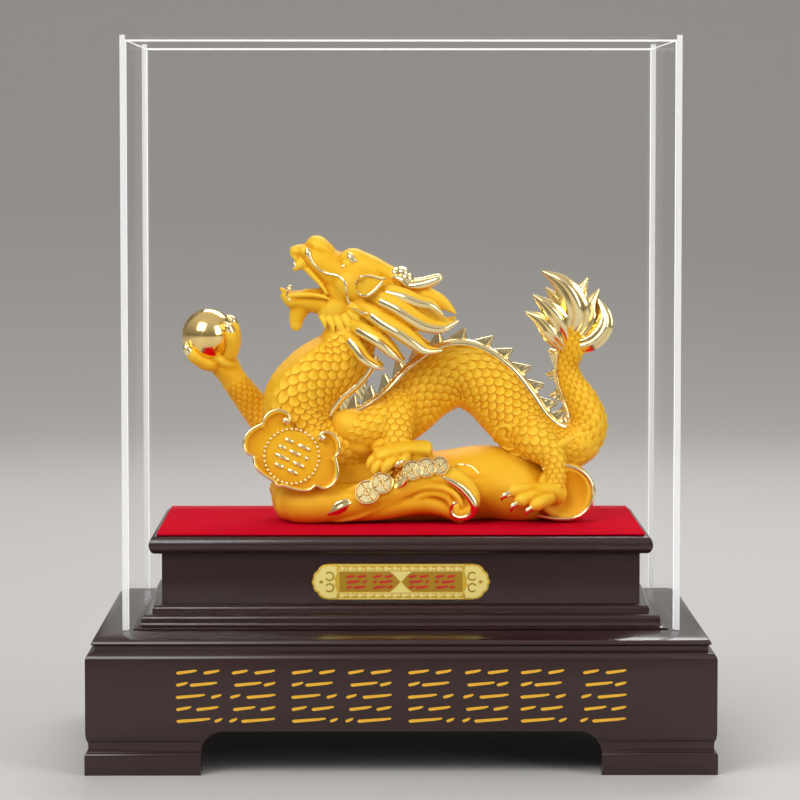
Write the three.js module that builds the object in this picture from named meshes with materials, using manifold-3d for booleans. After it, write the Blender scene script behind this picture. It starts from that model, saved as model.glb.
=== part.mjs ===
// A gilded dragon that holds up a pearl and stands on a ruyi sceptre, on a lacquered two-step
// plinth with a velvet top, under a clear acrylic cover. Millimetres, +Z up, front towards -Y.
import * as THREE from "three";
import { mergeVertices } from "three/addons/utils/BufferGeometryUtils.js";
import Module from "manifold-3d";

const wasm = await Module();
wasm.setup();

// Driving sizes of the plinth, all taken inwards from the outline of the lower step.
const PLINTH_WIDTH = 300;
const PLINTH_DEPTH = 200;
const FOOT_HEIGHT = 21;
const FOOT_BAND = 10;
const FOOT_LENGTH = 55;
const FOOT_BOARD = 16;
const ARCH_RADIUS = 11;
const LEDGE_TOP = 66.5;
const TIER_INSET = 35;
const BOARD_INSET = 29;
const BOARD_BOTTOM = 102;
const BOARD_TOP = 110.4;
const VELVET_INSET = 32.5;
const VELVET_THICK = 1;
const COVER_INSET = 17;
const COVER_TOP = 350;
const COVER_WALL = 3;
const GAP = 0.3;

// The dragon stands on the velvet, in a frame of its own whose origin is the velvet's middle.
const FLOOR = BOARD_TOP + VELVET_THICK + 2 * GAP;
const PEARL = { x: -95.5, y: 4, z: 91.5, r: 13 };
const MID = -6;
const FIN_PITCH = 9.6;

const GOLD_SAND = { color: 0xe8a226, roughness: 0.62, metalness: 0.35 };
const GOLD_BRIGHT = { color: 0xf2cf7c, roughness: 0.12, metalness: 1 };
const LACQUER = { color: 0x33161b, roughness: 0.32, metalness: 0 };
const VELVET = { color: 0xb5081f, roughness: 0.95, metalness: 0 };
const BRASS = { color: 0xc9a63c, roughness: 0.3, metalness: 1 };
const ACRYLIC = { color: 0xffffff, roughness: 0.03, metalness: 0, transparent: true, opacity: 0.15 };

// Turns a closed geometry into a solid that can be joined or cut.
function solid(geometry) {
  const bare = geometry.index ? geometry.toNonIndexed() : geometry.clone();
  bare.deleteAttribute("normal");
  bare.deleteAttribute("uv");
  const merged = mergeVertices(bare, 1e-4);
  return new wasm.Manifold(new wasm.Mesh({
    numProp: 3,
    vertProperties: merged.attributes.position.array,
    triVerts: new Uint32Array(merged.index.array),
  }));
}

// Turns a solid back into a geometry for a mesh.
function geometryOf(body) {
  const mesh = body.getMesh();
  const geometry = new THREE.BufferGeometry();
  geometry.setAttribute("position", new THREE.BufferAttribute(new Float32Array(mesh.vertProperties), 3));
  geometry.setIndex(new THREE.BufferAttribute(new Uint32Array(mesh.triVerts), 1));
  return geometry;
}

const join = (bodies) => bodies.reduce((whole, next) => whole.add(next));

// A box between two corners.
function block(low, high) {
  const size = high.map((value, i) => value - low[i]);
  const middle = high.map((value, i) => (value + low[i]) / 2);
  return solid(new THREE.BoxGeometry(...size).translate(...middle));
}

// An egg: half lengths, turned about Y by a pitch in degrees, at its middle.
function egg(middle, half, pitch = 0, sides = 10, rings = 7) {
  const shape = new THREE.SphereGeometry(1, sides, rings).scale(...half);
  return solid(shape.rotateY(THREE.MathUtils.degToRad(pitch)).translate(...middle));
}

// A limb, lock or body swept through stations [x, y, z, half height], each with its own size.
// broad is the half width across the sweep in parts of the half height, or a list of half widths.
function sweep(stations, { sides = 8, steps = 8, broad = 1, across = [0, 1, 0] } = {}) {
  const path = new THREE.CatmullRomCurve3(stations.map(([x, y, z]) => new THREE.Vector3(x, y, z)));
  const widths = stations.map((s, i) => (Array.isArray(broad) ? broad[i] : s[3] * broad));
  const sizes = new THREE.CatmullRomCurve3(stations.map((s, i) => new THREE.Vector3(s[3], widths[i], 0)));
  const tube = new THREE.CylinderGeometry(1, 1, 1, sides, steps);
  const place = tube.attributes.position;
  const point = new THREE.Vector3();
  for (let i = 0; i < place.count; i += 1) {
    point.fromBufferAttribute(place, i);
    const t = THREE.MathUtils.clamp(0.5 - point.y, 0, 1);
    const ahead = path.getTangent(t);
    const side = new THREE.Vector3(...across).addScaledVector(ahead, -ahead.dot(new THREE.Vector3(...across)));
    side.normalize();
    const up = new THREE.Vector3().crossVectors(ahead, side);
    const size = sizes.getPoint(t);
    const spot = path.getPoint(t);
    spot.addScaledVector(up, point.z * Math.max(size.x, 0.25));
    spot.addScaledVector(side, point.x * Math.max(size.y, 0.25));
    place.setXYZ(i, spot.x, spot.y, spot.z);
  }
  return solid(tube);
}

// The same form on the dragon's other flank, across the middle plane of the head or the body.
const mirrored = (stations, plane) => stations.map(([x, y, z, r]) => [x, 2 * plane - y, z, r]);

// THE DRAGON'S BODY: from the head down the neck, round the chest, over the hump, down to the hip
// and up into the tail. Stations are [x, y, z, half thickness].
const SPINE = [
  [-10.5, -6, 111.5, 7], [-16.5, -6, 102.5, 11.5], [-23.5, -6, 92, 12.5], [-29, -6, 81.5, 14], [-43, -6, 70.5, 15.5], [-51, -5, 58, 16.5],
  [-48, -4, 43.5, 16], [-33.5, -2, 36.5, 14], [-16.5, 0, 41, 12.5], [2, 3, 52, 13],
  [15.5, 5, 64.5, 14], [29.5, 6, 71, 15], [43.5, 5, 64.5, 14.5], [53, 3, 54, 14],
  [64, 0, 41.5, 12.5], [77.5, -1, 35, 10.5], [89, 1, 37, 9.5], [94.5, 4, 46.5, 9],
  [91, 7, 58.5, 7.5], [86, 9, 67.5, 6], [84, 9, 76, 5], [86, 8, 84, 6], [85, 7, 93, 4.5],
];
const SPINE_PATH = new THREE.CatmullRomCurve3(SPINE.map(([x, y, z]) => new THREE.Vector3(x, y, z)));
const SPINE_SIZE = new THREE.CatmullRomCurve3(SPINE.map((s) => new THREE.Vector3(s[3], 0, 0)));

// The fins stand in a row along the back, FIN_PITCH apart, and lean towards the tail.
function fins() {
  const row = [];
  const last = new THREE.Vector3(0, 0, 999);
  for (let u = 0.12; u < 0.965; u += 0.004) {
    const t = SPINE_PATH.getUtoTmapping(u);
    const spot = SPINE_PATH.getPoint(t);
    const ahead = SPINE_PATH.getTangent(t);
    const up = new THREE.Vector3(-ahead.z, 0, ahead.x).normalize();
    const size = SPINE_SIZE.getPoint(t).x;
    const height = 3 + 0.32 * size;
    const base = spot.clone().addScaledVector(up, size - 1.2);
    if (base.distanceTo(last) > FIN_PITCH) {
      const tip = spot.clone().addScaledVector(up, size + height).addScaledVector(ahead, 3.6);
      row.push(sweep(
        [[base.x, base.y, base.z, 4.6], [tip.x, tip.y, tip.z, 0.3]],
        { sides: 4, steps: 1, broad: 0.36 },
      ));
      last.copy(base);
    }
  }
  return row;
}

// THE HEAD: skull and upper jaw, lower jaw, nose, brows, cheeks, ears, horns, fangs and beard.
const SKULL = [
  [-54, MID, 134, 1.8], [-50, MID, 132.5, 4.6], [-44.5, MID, 130.5, 7], [-37.5, MID, 126.5, 8.5],
  [-30.5, MID, 122.5, 10.5], [-22.5, MID, 120.5, 13], [-13.5, MID, 116, 13], [-4.5, MID, 110.5, 11],
  [2.5, MID, 105.5, 6],
];
const SKULL_BROAD = [3.5, 7, 8.5, 9, 10.5, 13, 13.5, 12, 6];
const JAW = [
  [-57.8, MID, 112, 1.8], [-54, MID, 109.5, 4.4], [-47, MID, 108.5, 5.4], [-39.5, MID, 107.5, 6],
  [-30.5, MID, 105.5, 7.5], [-22, MID, 104, 6.5],
];
const JAW_BROAD = [3, 6, 7, 8, 11.5, 10];

// The mane's body fills the space between the locks of both flanks, from the jaw to the shoulders.
const MANE_BODY = [[-27, MID, 100, 7], [-16, MID, 106, 12], [-2, MID, 106, 11.5], [11, MID, 101, 7.5], [24, MID, 98, 1.5]];

// One flank of the head: everything that comes in a pair. flank is -1 for the near side, 1 for the far one.
function headFlank(flank) {
  const y = (off) => MID + flank * off;
  const ear = [[-22, y(12), 117.5, 1], [-18, y(14.5), 118.6, 4], [-13, y(16.5), 118.8, 4.2], [-6.5, y(18), 120.8, 0.6]];
  const horn = [
    [-3, y(6), 118.5, 4.6], [2.5, y(8.5), 117, 4.2], [8, y(11), 116.8, 3.4], [14, y(13), 118.5, 3],
    [20.5, y(14.5), 120.6, 1.2],
  ];
  return [
    egg([-24, y(9), 129.5], [5.5, 3.6, 3.6], 20, 6, 4),
    egg([-31, y(9), 105.5], [8, 4.2, 6.4], 0, 6, 4),
    sweep(ear, { sides: 4, steps: 4, broad: 0.4 }),
    sweep(horn, { sides: 5, steps: 4 }),
    sweep([[-47, y(6), 129, 3.6], [-50.5, y(6.6), 126.5, 2.4], [-53, y(6.8), 124, 0.4]], { sides: 4, steps: 2 }),
    sweep([[-55, y(3.6), 112, 1.8], [-55.2, y(3.8), 116, 0.8]], { sides: 4, steps: 1 }),
  ];
}

// Locks of the mane on one flank, from the top of the head down: stations [x, off, z, half width].
const LOCKS = [
  [[-3, 8, 117, 3], [9, 12, 112, 3.6], [19, 14, 106, 2.8], [27, 14, 101.5, 0.5]],
  [[-11, 12, 114, 2.6], [0, 17, 110, 3.2], [11, 20, 105.5, 2.6], [21.5, 20, 102, 0.5]],
  [[-17, 10, 110, 2.8], [-4, 19, 105.5, 3.9], [9, 22, 98.5, 3.8], [19, 22, 96.8, 2.8], [28.5, 20, 99.5, 0.5]],
  [[-21, 8.5, 105, 2.6], [-9, 19, 98, 3.9], [3, 23, 90.5, 4], [11, 23, 84.8, 2.7], [18.5, 20, 85.2, 0.5]],
  [[-26, 8, 99, 2.4], [-14, 17, 91.5, 3.6], [-5.5, 20, 84, 3.3], [2.8, 19, 78.2, 0.5]],
  [[-30, 8, 93, 2], [-21, 14, 86, 3.2], [-14.5, 17, 80.5, 3], [-8.3, 16, 76.8, 0.5]],
];

function mane(flank) {
  const shown = flank < 0 ? LOCKS : LOCKS.filter((lock, i) => i !== 1 && i !== 4);
  const how = flank < 0 ? { sides: 4, steps: 5, broad: 0.7 } : { sides: 4, steps: 4, broad: 0.7 };
  return shown.map((lock) => sweep(lock.map(([x, off, z, r]) => [x, MID + flank * off, z, r]), how));
}

function head() {
  return [
    sweep(SKULL, { sides: 8, steps: 8, broad: SKULL_BROAD }),
    egg([-41.5, MID, 136.5], [5.2, 7.4, 5.6], 0, 8, 5),
    sweep(JAW, { sides: 8, steps: 5, broad: JAW_BROAD }),
    sweep(MANE_BODY, { sides: 6, steps: 4, broad: [10, 14, 15, 12.5, 4] }),
    sweep([[-50, MID, 108, 5], [-50.5, MID, 101, 4.6], [-51.5, MID, 96, 3]], { sides: 6, steps: 2, broad: 0.9 }),
    sweep([[-54, MID, 112.5, 2], [-60.5, MID, 115, 0.4]], { sides: 4, steps: 1, broad: 1.2 }),
    sweep([[-22, MID, 108, 4.5], [-38, MID, 112, 3.4], [-50, MID, 113.5, 1.4]], { sides: 5, steps: 2, broad: 1.2 }),
    ...headFlank(-1),
    ...headFlank(1),
    ...mane(-1),
    ...mane(1),
  ];
}

// TAIL TUFT: hooked locks that open like a flame above the end of the tail.
const TUFT = [
  [[84, 7, 90, 4], [88, 4, 101, 6.4], [85.5, 3, 110.5, 6], [79.5, 3, 118, 4], [71, 4, 123, 0.6]],
  [[83, 6, 88, 4], [78.5, 2, 99, 5.4], [73, 1, 106, 3.6], [66, 1, 111.5, 0.5]],
  [[82, 6, 85, 3], [76, 2, 92, 4.6], [70, 2, 99, 3.2], [62.5, 3, 103, 0.5]],
  [[86, 9, 88, 4], [91.5, 13, 101, 5.4], [90, 13, 111, 3.8], [94, 12, 119.5, 0.5]],
  [[87, 8, 88, 4], [95, 9, 98, 5], [96, 9, 106.5, 3.4], [99.5, 9, 114, 0.5]],
  [[86, 7, 85, 3.6], [96, 5, 88.5, 4.6], [102, 5, 96, 4.2], [102, 6, 103, 2.6], [99, 7, 109, 0.5]],
  [[86, 11, 87, 3.6], [83.5, 14, 100, 5], [78.5, 15, 108.5, 3.2], [73, 14, 114.5, 0.5]],
];

// LEGS. The near fore leg stands on the sceptre, the far one is raised and carries the pearl,
// and the hind legs stand one on each side.
const FORE_LEG = [[6, -8, 57, 8], [4, -14, 50, 8.5], [4, -16, 43, 7.5], [4.5, -15, 36, 6.5], [4, -15, 31, 6]];
const FORE_FOOT = [[20, -11, 36.5, 4], [13, -14, 37.5, 5.4], [2, -18, 36, 6.6], [-8, -21, 33.5, 6], [-14, -23, 31, 3]];
const FORE_TOES = [
  [[-8, -19, 34, 4], [-15, -21, 31, 3.8], [-17, -22, 25.5, 1]],
  [[-5, -22, 33.5, 4.2], [-10, -27, 30, 4], [-11, -28, 24, 1]],
  [[1, -22, 34, 4.2], [-1.5, -28, 30.5, 4], [-3, -29, 25, 1]],
  [[8, -19, 35, 4], [7, -25.5, 32, 3.8], [6, -28, 27.5, 1]],
];
const HIND_LEG = [[60, -7, 46, 9], [67, -13, 40, 9.5], [75, -17, 32, 8], [78.5, -19, 24, 6.4], [77.5, -20, 17, 5.4], [75, -20, 11, 5]];
const HIND_FOOT = [[80, -19, 13, 4.5], [74, -22, 15, 5.4], [66, -26, 14.5, 5], [60, -29, 13, 3]];
const HIND_TOES = [
  [[66, -25, 16, 3], [58, -29, 16.5, 2.6], [52, -30.5, 15.5, 2], [49.5, -31, 13, 0.6]],
  [[68, -27, 14, 3.2], [61, -31, 13, 3], [56.5, -33.5, 11, 2.2], [54.5, -34, 7.5, 0.6]],
  [[73, -26, 13, 3], [67.5, -31.5, 11, 3], [63, -34, 8.5, 2.2], [61.5, -34.5, 5.5, 0.6]],
];
const RAISED_ARM = [[-52, 8, 42, 10], [-63, 11, 46, 9.5], [-71, 12, 53, 7.4], [-78, 10.5, 62, 6.4], [-84, 8, 70, 6], [-88, 6, 77, 7]];

// The claw: four fingers that run from the palm round the pearl. Each is led by its own direction.
const PALM_WAY = new THREE.Vector3(0.46, 0.12, -0.88).normalize();
const FINGER_WAYS = [[-1, -0.75, 0], [0.75, -0.75, 0.4], [0.9, 0.5, 0.5], [-0.6, 1, 0]];

function claw() {
  const centre = new THREE.Vector3(PEARL.x, PEARL.y, PEARL.z);
  const fingers = FINGER_WAYS.map((way) => {
    const out = new THREE.Vector3(...way).addScaledVector(PALM_WAY, -PALM_WAY.dot(new THREE.Vector3(...way)));
    out.normalize();
    const across = new THREE.Vector3().crossVectors(out, PALM_WAY);
    const stations = [[10, 4.2], [35, 3.6], [60, 2.8], [82, 2.6], [98, 0.7]].map(([degrees, r]) => {
      const turn = THREE.MathUtils.degToRad(degrees);
      const spot = centre.clone().addScaledVector(PALM_WAY, Math.cos(turn) * (PEARL.r + 1.2));
      spot.addScaledVector(out, Math.sin(turn) * (PEARL.r + 1.2));
      return [spot.x, spot.y, spot.z, r];
    });
    return sweep(stations, { sides: 4, steps: 5, broad: 1.1, across: across.toArray() });
  });
  const palm = centre.clone().addScaledVector(PALM_WAY, PEARL.r + 0.8);
  return [egg(palm.toArray(), [9.4, 8.6, 4.6], 28, 8, 5), ...fingers];
}

function legs() {
  const hind = [
    [HIND_LEG, { sides: 7, steps: 5, broad: 0.85 }], [HIND_FOOT, { sides: 6, steps: 3 }],
    ...HIND_TOES.map((toe) => [toe, { sides: 4, steps: 3 }]),
  ];
  return [
    sweep(FORE_LEG, { sides: 7, steps: 4, broad: 0.9 }),
    sweep(FORE_FOOT, { sides: 6, steps: 4 }),
    ...FORE_TOES.map((toe) => sweep(toe, { sides: 4, steps: 3 })),
    ...hind.map(([stations, how]) => sweep(stations, how)),
    ...hind.map(([stations, how]) => sweep(mirrored(stations, 0), how)),
    egg([-15, -12, 43], [10, 7.5, 9], 20, 7, 5),
    sweep(RAISED_ARM, { sides: 6, steps: 6 }),
    ...claw(),
  ];
}

// THE RUYI SCEPTRE that the dragon stands on: a cloud-shaped head, a waved shaft that ends in a
// scroll, a scooped tail end, and a string of coins laid across it.
const SHAFT = [
  [-64, 0, 8, 7], [-55, 1, 12, 13], [-35, 2, 13, 16.5], [-10, 3, 14, 18], [20, 4, 15, 18.5],
  [45, 4, 17, 19], [65, 2, 13, 16.5], [84, -2, 12, 10],
];
const SHAFT_BROAD = [12, 22, 24, 24, 25, 25, 25, 14];
const WAVE = [
  [-60, -13, 10, 9], [-46, -20, 10, 10.5], [-24, -23, 11, 8.5], [-4, -24, 16, 7.4], [13, -24, 22, 6.6],
  [27, -25.5, 22, 5.2], [35, -27, 15, 4], [34.5, -28, 7.5, 3.2], [28.5, -28, 5.6, 2.6], [27.5, -28.5, 10.5, 2],
];
const FOLD = [[-34, -20, 5, 5], [-10, -22, 8, 6.5], [10, -22.5, 11, 6.5], [22, -23, 8, 5], [31, -22, 2, 3]];
const SCOOP = { bulb: [81.5, -5, 14], half: [15.6, 19, 15], bowl: [80.5, -27, 14.5], dip: [14.2, 9, 13] };
const COINS = [
  [-16, -30.5, 16, 6.2], [-8.6, -30.5, 20.4, 5.5], [-1.2, -30, 23.4, 5.2], [6, -30, 26.3, 5.2],
  [12.8, -30, 27.7, 5.2], [19.2, -29.5, 28.6, 4.8],
];
const HEAD_PLATE = { x: -52.5, y: -30, z: 35, turn: 25, tilt: 8, thick: 9, rim: 1.6 };

// Half of the cloud-shaped outline, pointing down at (0, -18): three lobes, then the curled horn.
function cloudOutline(scale) {
  const shape = new THREE.Shape();
  const half = (side) => {
    const curve = (x1, y1, x2, y2, x, y) => shape.bezierCurveTo(
      side * x1 * scale, y1 * scale, side * x2 * scale, y2 * scale, side * x * scale, y * scale,
    );
    if (side > 0) {
      curve(4, -17, 15, -20, 17, -10);
      curve(25.5, -11.5, 28, 2, 19.6, 8);
      curve(25, 13, 18, 23, 10.2, 17.6);
      curve(8.6, 16.4, 8.4, 13.8, 10.6, 12.8);
    } else {
      curve(8.4, 13.8, 8.6, 16.4, 10.2, 17.6);
      curve(18, 23, 25, 13, 19.6, 8);
      curve(28, 2, 25.5, -11.5, 17, -10);
      curve(15, -20, 4, -17, 0, -18.5);
    }
  };
  shape.moveTo(0, -18.5 * scale);
  half(1);
  shape.quadraticCurveTo(0, 9 * scale, -10.6 * scale, 12.8 * scale);
  half(-1);
  return shape;
}

// The plate's own frame has its outline in X and Z and its face towards -Y.
function placePlate(geometry) {
  return geometry
    .rotateX(Math.PI / 2)
    .rotateY(THREE.MathUtils.degToRad(HEAD_PLATE.turn))
    .rotateX(THREE.MathUtils.degToRad(-HEAD_PLATE.tilt))
    .translate(HEAD_PLATE.x, HEAD_PLATE.y, HEAD_PLATE.z);
}

function headPlate() {
  const slab = (scale, depth, from) => solid(placePlate(new THREE.ExtrudeGeometry(
    cloudOutline(scale), { depth, bevelEnabled: false, curveSegments: 3 },
  ).translate(0, 0, from)));
  const body = slab(1, HEAD_PLATE.thick, -HEAD_PLATE.thick);
  const dish = slab(0.9, HEAD_PLATE.rim + 1, -HEAD_PLATE.rim);
  const button = solid(placePlate(
    new THREE.CylinderGeometry(13.6, 13.6, 1, 16).rotateX(Math.PI / 2).translate(0, 0, -HEAD_PLATE.rim - 0.1),
  ));
  const neck = egg([HEAD_PLATE.x + 4, -20, HEAD_PLATE.z - 4], [13, 9, 15], 0, 7, 5);
  return [body.subtract(dish), button, neck];
}

function coin([x, y, z, r], i) {
  const lean = THREE.MathUtils.degToRad(i === 2 ? -62 : -28 + 6 * (i % 2));
  const disc = new THREE.CylinderGeometry(r, r, 1.8, 8).rotateX(lean);
  return solid(disc.rotateZ(THREE.MathUtils.degToRad(-12)).translate(x, y, z));
}

function sceptre() {
  const bowl = egg(SCOOP.bowl, SCOOP.dip, 0, 12, 7);
  const shaft = sweep(SHAFT, { sides: 10, steps: 9, broad: SHAFT_BROAD });
  return [
    shaft.add(egg(SCOOP.bulb, SCOOP.half, 0, 12, 7)).subtract(bowl),
    sweep(WAVE, { sides: 6, steps: 15, broad: 1.1 }),
    sweep(FOLD, { sides: 5, steps: 4, broad: 1.2 }),
    ...COINS.map(coin),
    sweep([[-22.5, -30, 11.5, 0.8], [-28, -30, 9, 3.2], [-36.5, -29, 5.2, 0.5]], { sides: 4, steps: 2, broad: 0.7 }),
  ];
}

function dragon() {
  const body = sweep(SPINE, { sides: 10, steps: 34 });
  const whole = join([
    body, ...fins(), ...head(), ...TUFT.map((lock) => sweep(lock, { sides: 4, steps: 5, broad: 0.8 })),
    ...legs(), ...sceptre(), ...headPlate(),
  ]);
  const seat = solid(new THREE.SphereGeometry(PEARL.r + GAP, 16, 10).translate(PEARL.x, PEARL.y, PEARL.z));
  const below = block([-150, -90, -60], [150, 90, 0]);
  return whole.subtract(below).subtract(seat);
}

// THE PLINTH. Each step is a rectangle whose edge follows a moulded profile of [inset, height].
function moulded(profile, inset = 0) {
  const layers = profile.map(([inwards, z]) => {
    const x = PLINTH_WIDTH / 2 - inset - inwards;
    const y = PLINTH_DEPTH / 2 - inset - inwards;
    return [[-x, -y, z], [x, -y, z], [x, y, z], [-x, y, z]];
  });
  const points = [];
  const quad = (a, b, c, d) => points.push(...a, ...b, ...c, ...a, ...c, ...d);
  quad(...[...layers[0]].reverse());
  for (let i = 1; i < layers.length; i += 1) {
    for (let k = 0; k < 4; k += 1) {
      const next = (k + 1) % 4;
      quad(layers[i - 1][k], layers[i - 1][next], layers[i][next], layers[i][k]);
    }
  }
  quad(...layers[layers.length - 1]);
  const geometry = new THREE.BufferGeometry();
  geometry.setAttribute("position", new THREE.Float32BufferAttribute(points, 3));
  return solid(geometry);
}

// A quarter-round edge between two profile points, as inset and height pairs.
function quarter(from, to, bulge = 1, steps = 4) {
  const list = [];
  for (let i = 0; i <= steps; i += 1) {
    const turn = (i / steps) * (Math.PI / 2);
    const a = bulge > 0 ? Math.sin(turn) : 1 - Math.cos(turn);
    const b = bulge > 0 ? 1 - Math.cos(turn) : Math.sin(turn);
    list.push([from[0] + (to[0] - from[0]) * b, from[1] + (to[1] - from[1]) * a]);
  }
  return list;
}

const LOWER_PROFILE = [
  [0, 0], [0, FOOT_BAND - 1], [1.2, FOOT_BAND + 0.6], [1.6, FOOT_BAND + 4], [0.8, FOOT_HEIGHT - 2],
  [0.4, FOOT_HEIGHT], [0.4, 54.5], ...quarter([0.4, 54.5], [3.6, 58.2]), [3.6, 58.2], [4.6, 59],
  [4.6, 60.6], [2.8, 61.6], ...quarter([2.8, 61.8], [15, 66.5], 1, 6), [22, LEDGE_TOP],
];

// The ledge's inner stairs rise to the raised tier, and the tier carries the top board.
const TIER_PROFILE = [
  [22, 0], [22, 0.4], [23.2, 1.6], [25.6, 2.4], [25.6, 4.2], ...quarter([25.6, 4.2], [27.8, 6.2]),
  [30.6, 6.4], [30.6, 8.6], ...quarter([30.6, 8.6], [32.4, 10.4]), [TIER_INSET, 10.6],
  [TIER_INSET, BOARD_BOTTOM - LEDGE_TOP - GAP],
];

// Clean profiles repeat no point.
const distinct = (profile) => profile.filter(
  ([x, z], i) => i === 0 || Math.hypot(x - profile[i - 1][0], z - profile[i - 1][1]) > 0.05,
);

// The arch between two feet: a flat span with a rounded shoulder at each foot.
function arch(span, depth) {
  const half = span / 2;
  const shape = new THREE.Shape();
  shape.moveTo(-half, -1);
  shape.lineTo(half, -1);
  shape.lineTo(half, FOOT_HEIGHT - ARCH_RADIUS);
  shape.quadraticCurveTo(half, FOOT_HEIGHT, half - ARCH_RADIUS, FOOT_HEIGHT);
  shape.lineTo(-half + ARCH_RADIUS, FOOT_HEIGHT);
  shape.quadraticCurveTo(-half, FOOT_HEIGHT, -half, FOOT_HEIGHT - ARCH_RADIUS);
  return new THREE.ExtrudeGeometry(shape, { depth, bevelEnabled: false, curveSegments: 4 })
    .translate(0, 0, -depth / 2)
    .rotateX(Math.PI / 2);
}

function lowerStep() {
  const across = solid(arch(PLINTH_WIDTH - 2 * FOOT_LENGTH, PLINTH_DEPTH + 4));
  const along = solid(arch(PLINTH_DEPTH - 2 * FOOT_LENGTH, PLINTH_WIDTH + 4).rotateZ(Math.PI / 2));
  const x = PLINTH_WIDTH / 2 - FOOT_BOARD;
  const y = PLINTH_DEPTH / 2 - FOOT_BOARD;
  const hollow = block([-x, -y, -1], [x, y, FOOT_HEIGHT]);
  return moulded(distinct(LOWER_PROFILE)).subtract(across).subtract(along).subtract(hollow);
}

function raisedTier() {
  const lifted = TIER_PROFILE.map(([inset, z]) => [inset, z + LEDGE_TOP + GAP]);
  return moulded(distinct(lifted));
}

// The top board has a half-round nosing all round.
function topBoard() {
  const radius = (BOARD_TOP - BOARD_BOTTOM) / 2;
  const nose = [];
  for (let i = 0; i <= 6; i += 1) {
    const turn = (i / 6) * Math.PI;
    nose.push([BOARD_INSET + radius * 0.75 * (1 - Math.sin(turn)), BOARD_BOTTOM + radius * (1 - Math.cos(turn))]);
  }
  return moulded([[TIER_INSET + 0.5, BOARD_BOTTOM], ...nose.slice(0, -1), [VELVET_INSET, BOARD_TOP]]);
}

function velvet() {
  const x = PLINTH_WIDTH / 2 - VELVET_INSET;
  const y = PLINTH_DEPTH / 2 - VELVET_INSET;
  return block([-x, -y, BOARD_TOP + GAP], [x, y, BOARD_TOP + GAP + VELVET_THICK]);
}

// The cover is a box of five panes, open below, that stands on the ledge.
function cover() {
  const x = PLINTH_WIDTH / 2 - COVER_INSET;
  const y = PLINTH_DEPTH / 2 - COVER_INSET;
  const outer = block([-x, -y, LEDGE_TOP + GAP], [x, y, COVER_TOP]);
  const inner = block(
    [-x + COVER_WALL, -y + COVER_WALL, LEDGE_TOP - 5],
    [x - COVER_WALL, y - COVER_WALL, COVER_TOP - COVER_WALL],
  );
  return outer.subtract(inner);
}

// The name plate: a long brass tablet with a cloud-shaped end on each side, fixed to the tier.
const PLATE = { half: 43, end: 34, height: 17.5, thick: 1.4, z: 88.1 };

function namePlate() {
  const h = PLATE.height / 2;
  const shape = new THREE.Shape();
  shape.moveTo(-PLATE.end, -h);
  shape.lineTo(PLATE.end, -h);
  shape.bezierCurveTo(PLATE.end + 5, -h, PLATE.half - 1.4, -h + 4, PLATE.half, 0);
  shape.bezierCurveTo(PLATE.half - 1.4, h - 4, PLATE.end + 5, h, PLATE.end, h);
  shape.lineTo(-PLATE.end, h);
  shape.bezierCurveTo(-PLATE.end - 5, h, -PLATE.half + 1.4, h - 4, -PLATE.half, 0);
  shape.bezierCurveTo(-PLATE.half + 1.4, -h + 4, -PLATE.end - 5, -h, -PLATE.end, -h);
  const front = -(PLINTH_DEPTH / 2 - TIER_INSET) - GAP;
  return new THREE.ExtrudeGeometry(shape, { depth: PLATE.thick, bevelEnabled: false, curveSegments: 3 })
    .rotateX(Math.PI / 2)
    .translate(0, front, PLATE.z);
}

function piece(name, geometry, finish) {
  const mesh = new THREE.Mesh(geometry, new THREE.MeshStandardMaterial(finish));
  mesh.name = name;
  return mesh;
}

const ornament = new THREE.Group();
const figure = new THREE.Group();
figure.position.z = FLOOR;
figure.add(piece("dragon", geometryOf(dragon()), GOLD_SAND));
const pearl = piece("pearl", new THREE.SphereGeometry(PEARL.r, 16, 10), GOLD_BRIGHT);
pearl.position.set(PEARL.x, PEARL.y, PEARL.z);
figure.add(pearl);
ornament.add(
  figure,
  piece("plinth_lower_step", geometryOf(lowerStep()), LACQUER),
  piece("plinth_raised_tier", geometryOf(raisedTier()), LACQUER),
  piece("plinth_top_board", geometryOf(topBoard()), LACQUER),
  piece("velvet_top", geometryOf(velvet()), VELVET),
  piece("name_plate", namePlate(), BRASS),
  piece("acrylic_cover", geometryOf(cover()), ACRYLIC),
);

export default ornament;
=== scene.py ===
import math

import bpy
import numpy as np
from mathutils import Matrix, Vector
from mathutils.bvhtree import BVHTree


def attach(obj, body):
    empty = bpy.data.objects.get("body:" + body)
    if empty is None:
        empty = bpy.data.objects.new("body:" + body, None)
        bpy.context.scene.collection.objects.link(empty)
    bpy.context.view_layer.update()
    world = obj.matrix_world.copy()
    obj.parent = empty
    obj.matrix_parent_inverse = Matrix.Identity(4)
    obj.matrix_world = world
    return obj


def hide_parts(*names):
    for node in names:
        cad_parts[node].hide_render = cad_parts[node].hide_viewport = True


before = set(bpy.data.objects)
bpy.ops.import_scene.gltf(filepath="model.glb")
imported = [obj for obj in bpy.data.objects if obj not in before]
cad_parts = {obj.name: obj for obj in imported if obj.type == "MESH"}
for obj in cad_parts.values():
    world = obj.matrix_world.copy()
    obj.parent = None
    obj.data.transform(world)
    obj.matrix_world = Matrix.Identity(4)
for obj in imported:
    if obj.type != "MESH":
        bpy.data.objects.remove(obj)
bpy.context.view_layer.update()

MM = 0.001

# LOWER STEP. A wide box of board on four bracket feet, with a moulded ledge that carries the cover.
# Dark red-brown lacquer over a fine-grained board, rubbed to a soft gloss. The feet and the arches
# between them are sawn out of the four sides, which meet in mitres at the corners.


def alone():
    bpy.ops.object.select_all(action="DESELECT")


def only(piece):
    alone()
    piece.select_set(True)
    bpy.context.view_layer.objects.active = piece


def new_piece(name, points, faces):
    mesh = bpy.data.meshes.new(name)
    mesh.from_pydata(points, [], faces)
    made = bpy.data.objects.new(name, mesh)
    bpy.context.collection.objects.link(made)
    return made


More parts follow.
